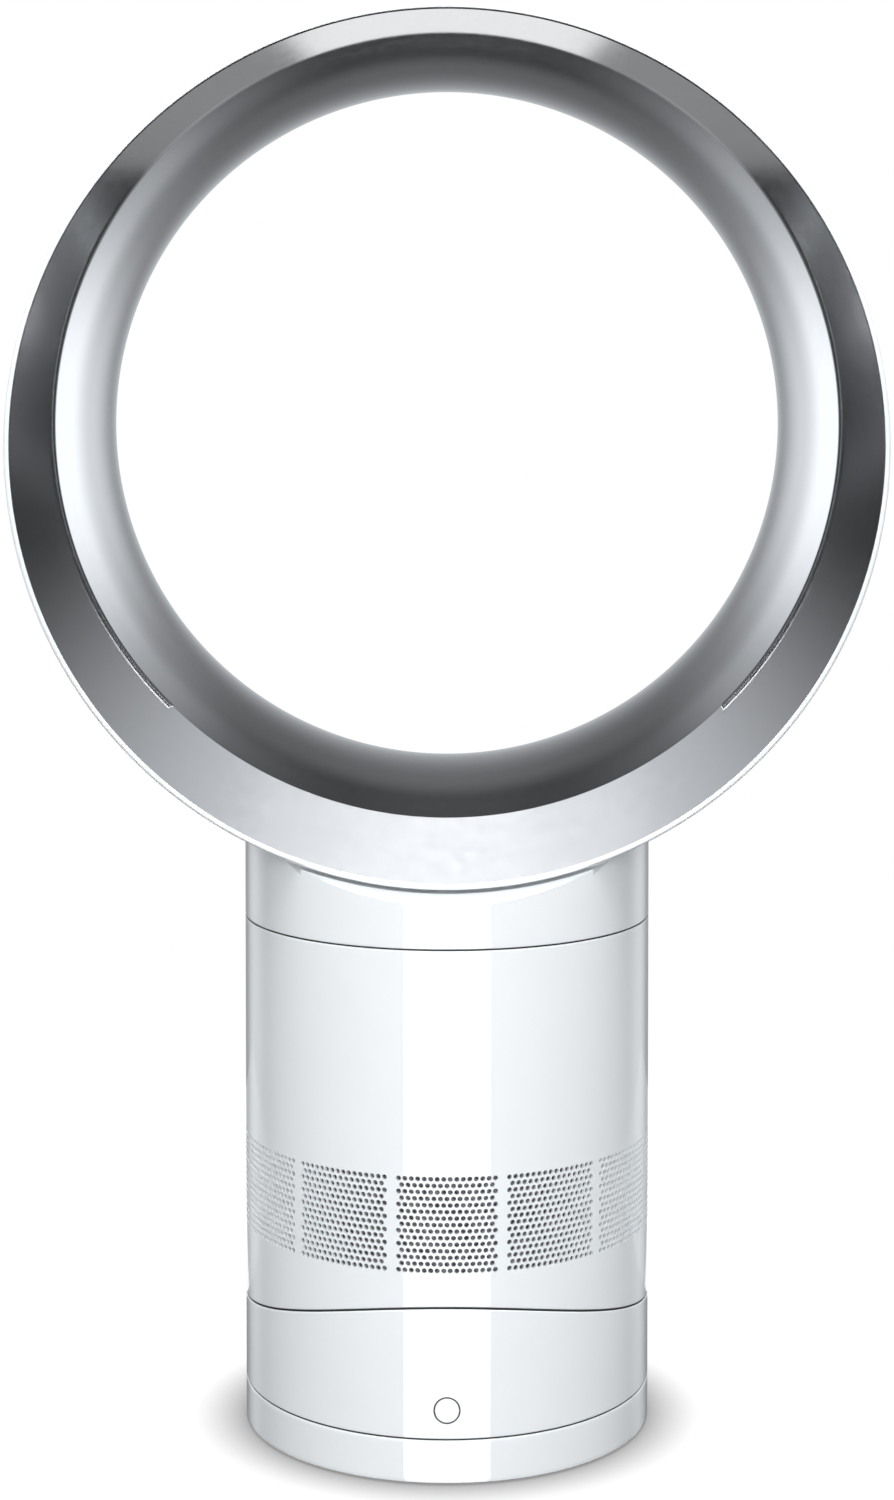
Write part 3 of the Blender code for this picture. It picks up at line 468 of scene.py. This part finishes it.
class Wall:
    """A round wall as a grid of points, one column per angle, in which holes can be made."""

    def __init__(self, angles, low_at, high_at, levels_at, skin=SKIN, inner_high_at=None):
        self.angles = angles
        self.skin = skin
        self.points = []
        self.faces = []
        self.left_out = set()
        self.grid = []
        for angle in angles:
            inner_high = (inner_high_at or high_at)(angle)
            section = wall_section(low_at(angle), high_at(angle), levels_at(angle), skin, inner_high)
            self.rows = len(section)
            self.grid.append([self.point(radius, angle, z) for radius, z in section])
        self.levels = len(levels_at(angles[0]))
        self.first_outer = EDGE_STEPS + 1
        self.last_inner = 2 * self.first_outer + 2 * self.levels

    def point(self, radius, angle, z):
        self.points.append((radius * math.cos(angle), radius * math.sin(angle), z))
        return len(self.points) - 1

    def outer(self, column, level):
        return self.grid[column % len(self.grid)][self.first_outer + level]

    def inner(self, column, level):
        return self.grid[column % len(self.grid)][self.last_inner - level]

    def leave_out(self, column, level):
        """Opens the cell above this level, in the outer face and in the inner one."""
        self.left_out.add((column % len(self.grid), self.first_outer + level))
        self.left_out.add((column % len(self.grid), self.last_inner - level - 1))

    def band(self, first, second):
        """Quads between two closed rings of equal length."""
        for i in range(len(first)):
            j = (i + 1) % len(first)
            self.faces.append([first[i], first[j], second[j], second[i]])

    def round_hole(self, column, level, steps, angle, z, radius):
        """A round hole with a rounded rim, in the middle of a square of steps by steps cells."""
        for across in range(steps):
            for up in range(steps):
                self.leave_out(column + across, level + up)
        border = [(i, 0) for i in range(steps)] + [(steps, i) for i in range(steps)]
        border += [(steps - i, steps) for i in range(steps)] + [(0, steps - i) for i in range(steps)]
        turns = [math.atan2(up - steps / 2, across - steps / 2) for across, up in border]
        rings = [[self.outer(column + across, level + up) for across, up in border]]
        for grow, depth in ((1.6, 0.0), (1.0, 0.0), (0.3, 0.3), (0.0, 1.0), (0.0, self.skin / EDGE)):
            reach = radius + grow * EDGE
            ring = []
            for turn in turns:
                at = angle + reach * math.cos(turn) / BODY_R
                ring.append(self.point(BODY_R - depth * EDGE, at, z + reach * math.sin(turn)))
            rings.append(ring)
        rings.append([self.inner(column + across, level + up) for across, up in border])
        for first, second in zip(rings, rings[1:]):
            self.band(first, second)

    def small_hole(self, column, level, angle, z):
        """A plain round hole in a cell two columns wide, with middle points on its top and bottom edges."""
        self.leave_out(column, level)
        self.leave_out(column + 1, level)
        turns = [math.radians(45 + 360 * k / HOLE_SIDES) for k in range(HOLE_SIDES)]
        rims = []
        for radius, corner in ((BODY_R, self.outer), (BODY_R - self.skin, self.inner)):
            rim = []
            for turn in turns:
                at = angle + HOLE_R * math.cos(turn) / BODY_R
                rim.append(self.point(radius, at, z + HOLE_R * math.sin(turn)))
            top = [corner(column + k, level + 1) for k in (2, 1, 0)]
            bottom = [corner(column + k, level) for k in (0, 1, 2)]
            self.faces += [
                [top[0], top[1], rim[1], rim[0]],
                [top[1], rim[2], rim[1]],
                [top[1], top[2], rim[3], rim[2]],
                [top[2], bottom[0], rim[6], rim[5], rim[4], rim[3]],
                [bottom[0], bottom[1], rim[7], rim[6]],
                [bottom[1], rim[8], rim[7]],
                [bottom[1], bottom[2], rim[9], rim[8]],
                [bottom[2], top[0], rim[0], rim[11], rim[10], rim[9]],
            ]
            rims.append(rim)
        self.band(*rims)

    def build(self, name, slot):
        for column, points in enumerate(self.grid):
            following = self.grid[(column + 1) % len(self.grid)]
            for row in range(self.rows):
                if (column, row) in self.left_out:
                    continue
                above = (row + 1) % self.rows
                self.faces.append([points[row], following[row], following[above], points[above]])
        return make_piece(name, self.points, self.faces, slot)


def saddle_height(radius, wall_r=BODY_R):
    """The height of the curved seam on a round wall, for a saddle of this radius about the tilt axis."""
    return lambda angle: TILT_AXIS_Z - math.sqrt(radius**2 - (wall_r * math.sin(angle)) ** 2)


def level_at(height):
    return lambda angle: height


def angles_round(middle, half_width):
    """Columns round the wall: even ones across a round hole's patch, and even ones round the rest."""
    patch = [middle + half_width * (2 * i / HOLE_PATCH_STEPS - 1) for i in range(HOLE_PATCH_STEPS)]
    rest = math.tau - 2 * half_width
    return patch + [middle + half_width + rest * i / WALL_COLUMNS for i in range(WALL_COLUMNS)]


def build_base_casing():
    """The white band with the button's hole. Its upper edge follows the saddle, outside and inside."""
    patch_low, patch_high = BUTTON_Z - BUTTON_PATCH, BUTTON_Z + BUTTON_PATCH
    high = saddle_height(BASE_SADDLE_R)
    low_levels = [BASE_LOW + SUPPORT] + between(patch_low, patch_high, HOLE_PATCH_STEPS)

    def levels(angle):
        return low_levels + between(patch_high, high(angle) - SUPPORT, LEVELS_ABOVE_BUTTON)[1:]

    angles = angles_round(FRONT, BUTTON_PATCH / BODY_R)
    inner_high = saddle_height(BASE_SADDLE_R, BODY_R - SKIN)
    wall = Wall(angles, level_at(BASE_LOW), high, levels, inner_high_at=inner_high)
    wall.round_hole(0, 1, HOLE_PATCH_STEPS, FRONT, BUTTON_Z, BUTTON_HOLE_R)
    casing = wall.build("base_casing", "white_gloss_plastic")
    stand_in(casing, "control_base", "white_gloss_plastic", "base_shell")


def intake_angles():
    """Columns for the intake: half a hole pitch apart in each panel, and two wide ones between panels."""
    panel_width = HOLES_ACROSS * HOLE_PITCH_ANGLE
    gap = math.tau / INTAKE_PANELS - panel_width
    angles = []
    for panel in range(INTAKE_PANELS):
        start = FRONT + math.tau * panel / INTAKE_PANELS - panel_width / 2
        angles += [start + HOLE_PITCH_ANGLE * i / 2 for i in range(2 * HOLES_ACROSS)]
        angles += [start + panel_width, start + panel_width + gap / 2]
    return angles


def build_column_casing():
    """The white column, with rows of small holes in each intake panel."""
    low = saddle_height(SADDLE_R)
    intake_levels = between(INTAKE_LOW, INTAKE_LOW + HOLE_ROWS * HOLE_ROW_PITCH, HOLE_ROWS)

    def levels(angle):
        below = between(low(angle) + SUPPORT, INTAKE_LOW, LEVELS_BELOW_INTAKE)[:-1]
        above = between(intake_levels[-1], BODY_TOP - SUPPORT, LEVELS_ABOVE_INTAKE)[1:]
        return below + intake_levels + above

    wall = Wall(intake_angles(), low, level_at(BODY_TOP), levels, COLUMN_SKIN)
    columns_per_panel = 2 * HOLES_ACROSS + 2
    for panel in range(INTAKE_PANELS):
        for row in range(HOLE_ROWS):
            shift = row % 2
            for hole in range(HOLES_ACROSS - shift):
                column = panel * columns_per_panel + 2 * hole + shift
                angle = wall.angles[column] + HOLE_PITCH_ANGLE / 2
                height = INTAKE_LOW + (row + 0.5) * HOLE_ROW_PITCH
                wall.small_hole(column, LEVELS_BELOW_INTAKE + row, angle, height)
    casing = wall.build("column_casing", "white_gloss_plastic")
    stand_in(casing, "tilting_head", "white_gloss_plastic", "motor_body_shell")


def upright_ring(name, corners, slot):
    """A closed ring about Z. Each corner of its section is (radius, function from angle to height)."""
    points = []
    for i in range(WALL_COLUMNS):
        angle = math.tau * i / WALL_COLUMNS
        for radius, height_at in corners:
            points.append((radius * math.cos(angle), radius * math.sin(angle), height_at(angle)))
    return make_piece(name, points, ring_faces(WALL_COLUMNS, len(corners)), slot)


def build_intake_shade_lining():
    """A thin sleeve of dark foam behind the holes: painted shade, which makes the holes look dark."""
    outer_r = BODY_R - COLUMN_SKIN - SHADE_LINING_GAP
    inner_r = outer_r - SHADE_LINING_THICK
    low = level_at(INTAKE_LOW - SHADE_LINING_MARGIN)
    high = level_at(INTAKE_LOW + HOLE_ROWS * HOLE_ROW_PITCH + SHADE_LINING_MARGIN / 2)
    corners = [(inner_r, low), (outer_r, low), (outer_r, high), (inner_r, high)]
    added(upright_ring("intake_lining", corners, "acoustic_foam"), "tilting_head")


def build_seam_shade_strips():
    """Black strips that fill the three seams just behind the surface, and the one round the button. They are
    painted shade, which makes the seams look dark.
    """

    def level(height):
        return lambda wall_r: level_at(height)

    def saddle(radius):
        return lambda wall_r: saddle_height(radius, wall_r)

    seams = {
        "foot_seam_seal": ("control_base", level(FOOT_TOP + SHADE_STRIP_GAP), level(BASE_LOW - SHADE_STRIP_GAP)),
        "neck_seam_seal": ("tilting_head", level(BODY_TOP + SHADE_STRIP_GAP), level(NECK_LOW - SHADE_STRIP_GAP)),
        "saddle_seam_seal": ("control_base", saddle(BASE_SADDLE_R - SHADE_STRIP_GAP), saddle(SADDLE_R + SHADE_STRIP_GAP)),
    }
    for name, (body, low, high) in seams.items():
        corners = [(wall_r, low(wall_r)) for wall_r in (SHADE_STRIP_INNER_R, SHADE_STRIP_OUTER_R)]
        corners += [(wall_r, high(wall_r)) for wall_r in (SHADE_STRIP_OUTER_R, SHADE_STRIP_INNER_R)]
        added(upright_ring(name, corners, "rubber"), body)

    inner_r = BUTTON_R + SHADE_STRIP_GAP
    outer_r = BUTTON_HOLE_R - SHADE_STRIP_GAP
    front_y = -SHADE_STRIP_OUTER_R
    back_y = BUTTON_SHADE_DEPTH - BODY_R
    section = [(front_y, inner_r), (front_y, outer_r), (back_y, outer_r), (back_y, inner_r)]
    button_shade = loop_ring("button_seal", [(y, radius, BUTTON_Z) for y, radius in section], "rubber")
    added(button_shade, "control_base")


def build_foot_casing():
    """The lower white band, with the round opening of the inlet at the rear."""
    levels = [FOOT_FIRST_LEVEL] + between(INLET_Z - INLET_PATCH, INLET_Z + INLET_PATCH, HOLE_PATCH_STEPS)
    angles = angles_round(REAR, INLET_PATCH / BODY_R)
    wall = Wall(angles, level_at(FOOT_LOW), level_at(FOOT_TOP), lambda angle: levels)
    wall.round_hole(0, 1, HOLE_PATCH_STEPS, REAR, INLET_Z, INLET_HOLE_R)
    casing = wall.build("foot_casing", "white_gloss_plastic")
    stand_in(casing, "foot", "white_gloss_plastic", "foot_shell")


def build_button():
    """The cap follows the round wall in front, and has a flange and a stem behind it."""
    points = [(0, -BODY_R, BUTTON_Z)]
    faces = []
    rings = []

    def ring(radius, depth_at):
        indices = []
        for i in range(BUTTON_SIDES):
            a = math.tau * i / BUTTON_SIDES
            x = radius * math.cos(a)
            indices.append(len(points))
            points.append((x, depth_at(x), BUTTON_Z + radius * math.sin(a)))
        rings.append(indices)

    def on_wall(sunk):
        return lambda x: -math.sqrt(BODY_R**2 - x**2) + sunk

    for share in (0.25, 0.5, 0.75):
        ring(BUTTON_R * share, on_wall(0.0))
    for across, sunk in arc((BUTTON_R - EDGE, EDGE), (EDGE, EDGE), -90, 0, EDGE_STEPS):
        ring(across, on_wall(sunk))
    behind = [(BUTTON_R, FLANGE_FRONT_Y), (FLANGE_R, FLANGE_FRONT_Y), (FLANGE_R, FLANGE_BACK_Y)]
    behind += [(STEM_R, FLANGE_BACK_Y), (STEM_R, STEM_END_Y)]
    for radius, y in behind:
        ring(radius, level_at(y))
    points.append((0, STEM_END_Y, BUTTON_Z))
    last = len(points) - 1
    for i in range(BUTTON_SIDES):
        j = (i + 1) % BUTTON_SIDES
        faces.append([0, rings[0][i], rings[0][j]])
        faces.append([rings[-1][i], last, rings[-1][j]])
        for first, second in zip(rings, rings[1:]):
            faces.append([first[i], second[i], second[j], first[j]])
    cap = make_piece("button_cap", points, faces, "white_gloss_plastic")
    stand_in(cap, "power_button_body", "white_gloss_plastic", "power_button")


# ---------------------------------------------------------------- loop


def loop_ring(name, section, slot):
    """A hollow ring. Each point of the section is (y, radius, height of the circle's centre)."""
    points = []
    for i in range(LOOP_SIDES):
        a = math.tau * i / LOOP_SIDES
        for y, radius, centre_z in section:
            points.append((radius * math.cos(a), y, centre_z + radius * math.sin(a)))
    return make_piece(name, points, ring_faces(LOOP_SIDES, len(section)), slot)


def leaning(points):
    """Gives (y, radius) points their circle centres: the outer wall's, the bore's, or one between."""
    section = []
    for y, radius in points:
        share = min(max((LEAN_FROM_R - radius) / (LEAN_FROM_R - LEAN_TO_R), 0.0), 1.0)
        section.append((y, radius, LOOP_Z + (BORE_Z - LOOP_Z) * share))
    return section


def loop_wall_section():
    """The casing's section: the rim, the outside, the back, the edge of the air slot, and the inside."""
    inner_r = LOOP_R - LOOP_WALL
    front = arc((LOOP_FRONT_Y + EDGE, inner_r + EDGE), (EDGE, EDGE), 270, 180, 3)
    front += arc((LOOP_FRONT_Y + RIM_ROUND, LOOP_R - RIM_ROUND), (RIM_ROUND, RIM_ROUND), 180, 90, 6)
    sides = [(LOOP_FRONT_Y + 0.0010, LOOP_R)] + [(y, LOOP_R) for y in between(-0.04, 0.036, 4)]
    back = arc((0.0400, LOOP_R - BACK_ROUND), (LOOP_BACK_Y - 0.0400, BACK_ROUND), 90, 0, 10)
    outlet = arc((LOOP_BACK_Y - 0.0030, OUTLET_R), (0.0030, 0.0072), 0, -75, 8)
    throat = [(0.0485, 0.1260), (0.0452, 0.1254), (0.0452, 0.1266), (0.0485, 0.1274), (0.0502, 0.1290)]
    inside = [(LOOP_BACK_Y - 0.0018, 0.1345), (LOOP_BACK_Y - 0.0022, LOOP_R - 0.0120)]
    inside += [(0.0475, LOOP_R - 0.0050), (0.0395, inner_r), (LOOP_FRONT_Y + 0.0010, inner_r)]
    return leaning(front + sides + back + outlet + throat + inside)


def neck_tool(name, profile):
    """A solid about the loop's axis, which shapes the neck."""
    return turned(name, profile, "white_gloss_plastic", NECK_TOOL_SIDES, "Y", (0, 0, LOOP_Z))


def build_loop_casing():
    """The hollow ring, joined to a neck whose top follows the ring with a ledge and a groove under it."""
    casing = loop_ring("loop_casing", loop_wall_section(), "white_gloss_plastic")

    neck_profile = [(0, NECK_LOW)]
    neck_profile += arc((BODY_R - EDGE, NECK_LOW + EDGE), (EDGE, EDGE), -90, 0, EDGE_STEPS)
    neck_profile += [(BODY_R, NECK_LOW + SUPPORT), (BODY_R, NECK_TOOL_TOP), (0, NECK_TOOL_TOP)]
    neck = turned("neck", neck_profile, "white_gloss_plastic")
    under_wall = LOOP_R - LOOP_WALL / 2
    slope = (LEDGE_FAR_R - LEDGE_NEAR_R) / (BODY_R + LOOP_FRONT_Y)
    far_r = LEDGE_NEAR_R + slope * (NECK_TOOL_Y - LEDGE_STEP_Y)
    above_profile = [(0, -NECK_TOOL_Y), (far_r, -NECK_TOOL_Y), (LEDGE_NEAR_R, -LEDGE_STEP_Y)]
    above_profile += [(LEDGE_NEAR_R, -GROOVE_Y), (under_wall, -GROOVE_Y)]
    above_profile += [(radius, -y) for radius, y in reversed(above_profile)]
    boolean(neck, "DIFFERENCE", neck_tool("above", above_profile))

    groove = [(0, GROOVE_Y), (LEDGE_NEAR_R, GROOVE_Y), (GROOVE_R, LEDGE_STEP_Y), (0, LEDGE_STEP_Y)]
    front_groove = [(radius, -y) for radius, y in reversed(groove)]
    for profile in (front_groove, groove):
        boolean(neck, "DIFFERENCE", neck_tool("groove", profile))

    bore_r = BODY_R - SKIN
    bore_profile = [(0, NECK_BORE_LOW), (bore_r, NECK_BORE_LOW)]
    bore_profile += [(bore_r, NECK_TOOL_TOP), (0, NECK_TOOL_TOP)]
    bore = turned("bore", bore_profile, "white_gloss_plastic")
    roof_profile = [(0, -NECK_TOOL_Y), (NECK_ROOF_R, -NECK_TOOL_Y)]
    roof_profile += [(NECK_ROOF_R, NECK_TOOL_Y), (0, NECK_TOOL_Y)]
    boolean(bore, "DIFFERENCE", neck_tool("roof", roof_profile))
    boolean(neck, "DIFFERENCE", bore)
    boolean(casing, "UNION", neck)
    stand_in(casing, "tilting_head", "white_gloss_plastic", "nozzle_outer_casing")


def build_loop_duct():
    """A flat bevel from the rim to the lip, the duct with its throat, and the back of both."""
    bevel = zip(
        between(DUCT_FRONT_Y, LIP_Y, BEVEL_STEPS),
        between(DUCT_OUTER_R, LIP_R, BEVEL_STEPS),
        between(LOOP_Z, BORE_Z, BEVEL_STEPS),
    )
    bore = [(LIP_Y + 0.0016, LIP_R - 0.0004), (-0.0180, 0.1305), (0.0000, 0.1269), (0.0150, 0.1244)]
    bore += [(0.0270, 0.1231), (THROAT_Y, THROAT_R), (0.0400, 0.1237), (0.0432, 0.1260), (0.0470, 0.1285)]
    back = [(0.0470, 0.1300), (0.0424, 0.1278), (0.0390, 0.1254), (0.0340, 0.1247), (-0.0100, 0.1303)]
    back += [(LIP_Y + 0.0030, LIP_R + 0.0008)]
    section = list(bevel)
    section += [(y, radius, BORE_Z) for y, radius in smooth_path(bore, PATH_STEPS) + back]
    section.append((DUCT_FRONT_Y + DUCT_EDGE_THICK, DUCT_OUTER_R, LOOP_Z))
    duct = loop_ring("loop_duct", section, "satin_nickel")
    stand_in(duct, "tilting_head", "satin_nickel", "nozzle_inner_casing")


# ---------------------------------------------------------------- stage


def finish_cad_nodes():
    """Every CAD node takes the material of its slot, and its round faces are shaded smooth."""
    slots = {part["node"]: part["material_slot"] for part in record["subparts"]}
    for name, node in frame["nodes"].items():
        node.data.materials.clear()
        node.data.materials.append(MATERIALS[slots[name]])
        smooth(node.data)


def build_camera():
    data = bpy.data.cameras.new("camera")
    data.lens = CAMERA_LENS
    data.sensor_width = CAMERA_SENSOR
    data.shift_y = CAMERA_SHIFT
    camera = bpy.data.objects.new("camera", data)
    camera.location = CAMERA_PLACE
    camera.rotation_euler = (math.pi / 2 + CAMERA_PITCH, 0.0, 0.0)
    bpy.context.scene.collection.objects.link(camera)
    bpy.context.scene.camera = camera


def build_floor():
    """A pale glowing disc that fades out well away from the fan, and darkens only close to the foot, where an
    occlusion node dims its glow as a painted contact shadow.
    """
    mesh = bpy.data.meshes.new("floor")
    work = bmesh.new()
    bmesh.ops.create_circle(work, cap_ends=True, segments=96, radius=FLOOR_R)
    work.to_mesh(mesh)
    work.free()
    nodes = Nodes("floor")
    near = nodes.add("ShaderNodeAmbientOcclusion", Distance=CONTACT_REACH)
    # The glow falls where the foot is near: painted contact shadow.
    contact_shadow = nodes.add("ShaderNodeMapRange", Value=near.outputs["AO"])
    contact_shadow.inputs["From Min"].default_value = CONTACT_OPEN[0]
    contact_shadow.inputs["From Max"].default_value = CONTACT_OPEN[1]
    contact_shadow.inputs["To Min"].default_value = CONTACT_SHADOW_DARKEST
    tone = nodes.blend(nodes.noise(8.0), (0.05, 0.05, 0.05), (0.06, 0.06, 0.06))
    nodes.feed(nodes.shader, "Base Color", tone)
    nodes.shader.inputs["Roughness"].default_value = 0.6
    nodes.shader.inputs["Specular IOR Level"].default_value = 0.0
    nodes.shader.inputs["Emission Color"].default_value = WHITE_TONE
    nodes.feed(nodes.shader, "Emission Strength", contact_shadow.outputs["Result"])
    reach = nodes.add("ShaderNodeVectorMath")
    reach.operation = "LENGTH"
    nodes.feed(reach, 0, nodes.place)
    fade = nodes.add("ShaderNodeMapRange", Value=reach.outputs["Value"])
    fade.inputs["From Min"].default_value = FLOOR_R
    fade.inputs["From Max"].default_value = FLOOR_FADE_FROM
    nodes.feed(nodes.shader, "Alpha", fade.outputs["Result"])
    mesh.materials.append(nodes.material)
    floor = bpy.data.objects.new("floor", mesh)
    bpy.context.scene.collection.objects.link(floor)
    floor.visible_glossy = False
    floor.visible_diffuse = False


def soft_box(name, place, aim, size, radiance, diffuse=True, glossy=True):
    """A rectangular light of even brightness, turned by aim: (right and left, up and down) in degrees."""
    data = bpy.data.lights.new(name, "AREA")
    data.shape = "RECTANGLE"
    data.size, data.size_y = size
    data.energy = radiance * math.pi * size[0] * size[1]
    light = bpy.data.objects.new(name, data)
    light.location = place
    light.rotation_euler = (math.radians(90 + aim[1]), 0.0, math.radians(aim[0]))
    light.visible_camera = False
    light.visible_diffuse = diffuse
    light.visible_glossy = glossy
    bpy.context.scene.collection.objects.link(light)


def build_world():
    """White to the camera, and for everything else a dim room with soft bright patches."""
    world = bpy.data.worlds.new("studio")
    bpy.context.scene.world = world
    world.use_nodes = True
    tree = world.node_tree
    tree.nodes.clear()
    direction = tree.nodes.new("ShaderNodeTexCoord").outputs["Generated"]

    def lobe(azimuth, elevation, full, none, strength):
        """A round bright patch, even inside full degrees and gone at none degrees."""
        a, e = math.radians(azimuth), math.radians(elevation)
        dot = tree.nodes.new("ShaderNodeVectorMath")
        dot.operation = "DOT_PRODUCT"
        tree.links.new(direction, dot.inputs[0])
        dot.inputs[1].default_value = (math.sin(a) * math.cos(e), math.cos(a) * math.cos(e), math.sin(e))
        angle = tree.nodes.new("ShaderNodeMath")
        angle.operation = "ARCCOSINE"
        tree.links.new(dot.outputs["Value"], angle.inputs[0])
        fade = tree.nodes.new("ShaderNodeMapRange")
        fade.interpolation_type = "SMOOTHSTEP"
        tree.links.new(angle.outputs[0], fade.inputs["Value"])
        fade.inputs["From Min"].default_value = math.radians(none)
        fade.inputs["From Max"].default_value = math.radians(full)
        fade.inputs["To Max"].default_value = strength
        return fade.outputs["Result"]

    lobes = [(side * azimuth, *rest) for side in (1, -1) for azimuth, *rest in SIDE_LOBES] + MIDDLE_LOBES
    dim = tree.nodes.new("ShaderNodeValue")
    dim.outputs[0].default_value = WORLD_DIM
    total = dim.outputs[0]
    for values in lobes:
        add = tree.nodes.new("ShaderNodeMath")
        tree.links.new(total, add.inputs[0])
        tree.links.new(lobe(*values), add.inputs[1])
        total = add.outputs[0]
    room = tree.nodes.new("ShaderNodeBackground")
    room.inputs["Color"].default_value = ROOM_TONE
    tree.links.new(total, room.inputs["Strength"])
    white = tree.nodes.new("ShaderNodeBackground")
    white.inputs["Color"].default_value = WHITE_TONE
    mix = tree.nodes.new("ShaderNodeMixShader")
    path = tree.nodes.new("ShaderNodeLightPath")
    tree.links.new(path.outputs["Is Camera Ray"], mix.inputs["Fac"])
    tree.links.new(room.outputs[0], mix.inputs[1])
    tree.links.new(white.outputs[0], mix.inputs[2])
    output = tree.nodes.new("ShaderNodeOutputWorld")
    tree.links.new(mix.outputs[0], output.inputs["Surface"])


def build_light():
    """Large soft boxes give the diffuse light, and cards and a band are seen only in the gloss."""
    soft_box("front_key", (0.0, -1.65, 0.60), (0, -6), (1.5, 1.6), 2.65, glossy=False)
    for side, name in ((1, "side_key_right"), (-1, "side_key_left")):
        soft_box(name, (side * 1.50, -1.00, 0.60), (side * 56, -6), (1.0, 1.6), 1.4, glossy=False)
    soft_box("top_key", (0.0, -0.20, 1.70), (0, -90), (1.6, 1.6), 4.2, glossy=False)
    soft_box("front_band", (0.0, -1.65, -0.72), (0, 0), (1.45, 1.40), 5.5, diffuse=False)
    soft_box("top_card", (0.0, -0.75, 1.70), (0, -90), (1.0, 0.9), 11.0, diffuse=False)
    soft_box("floor_card", (0.0, 0.29, 0.002), (0, 90), (0.26, 0.34), 0.85, diffuse=False)
    soft_box("floor_card_wide", (0.0, 0.29, 0.001), (0, 90), (0.80, 0.34), 0.25, diffuse=False)


finish_cad_nodes()
build_foot_casing()
build_base_casing()
build_column_casing()
build_intake_shade_lining()
build_seam_shade_strips()
build_button()
build_loop_casing()
build_loop_duct()
build_floor()
build_camera()
build_light()
build_world()
bpy.context.scene.view_settings.view_transform = "Standard"
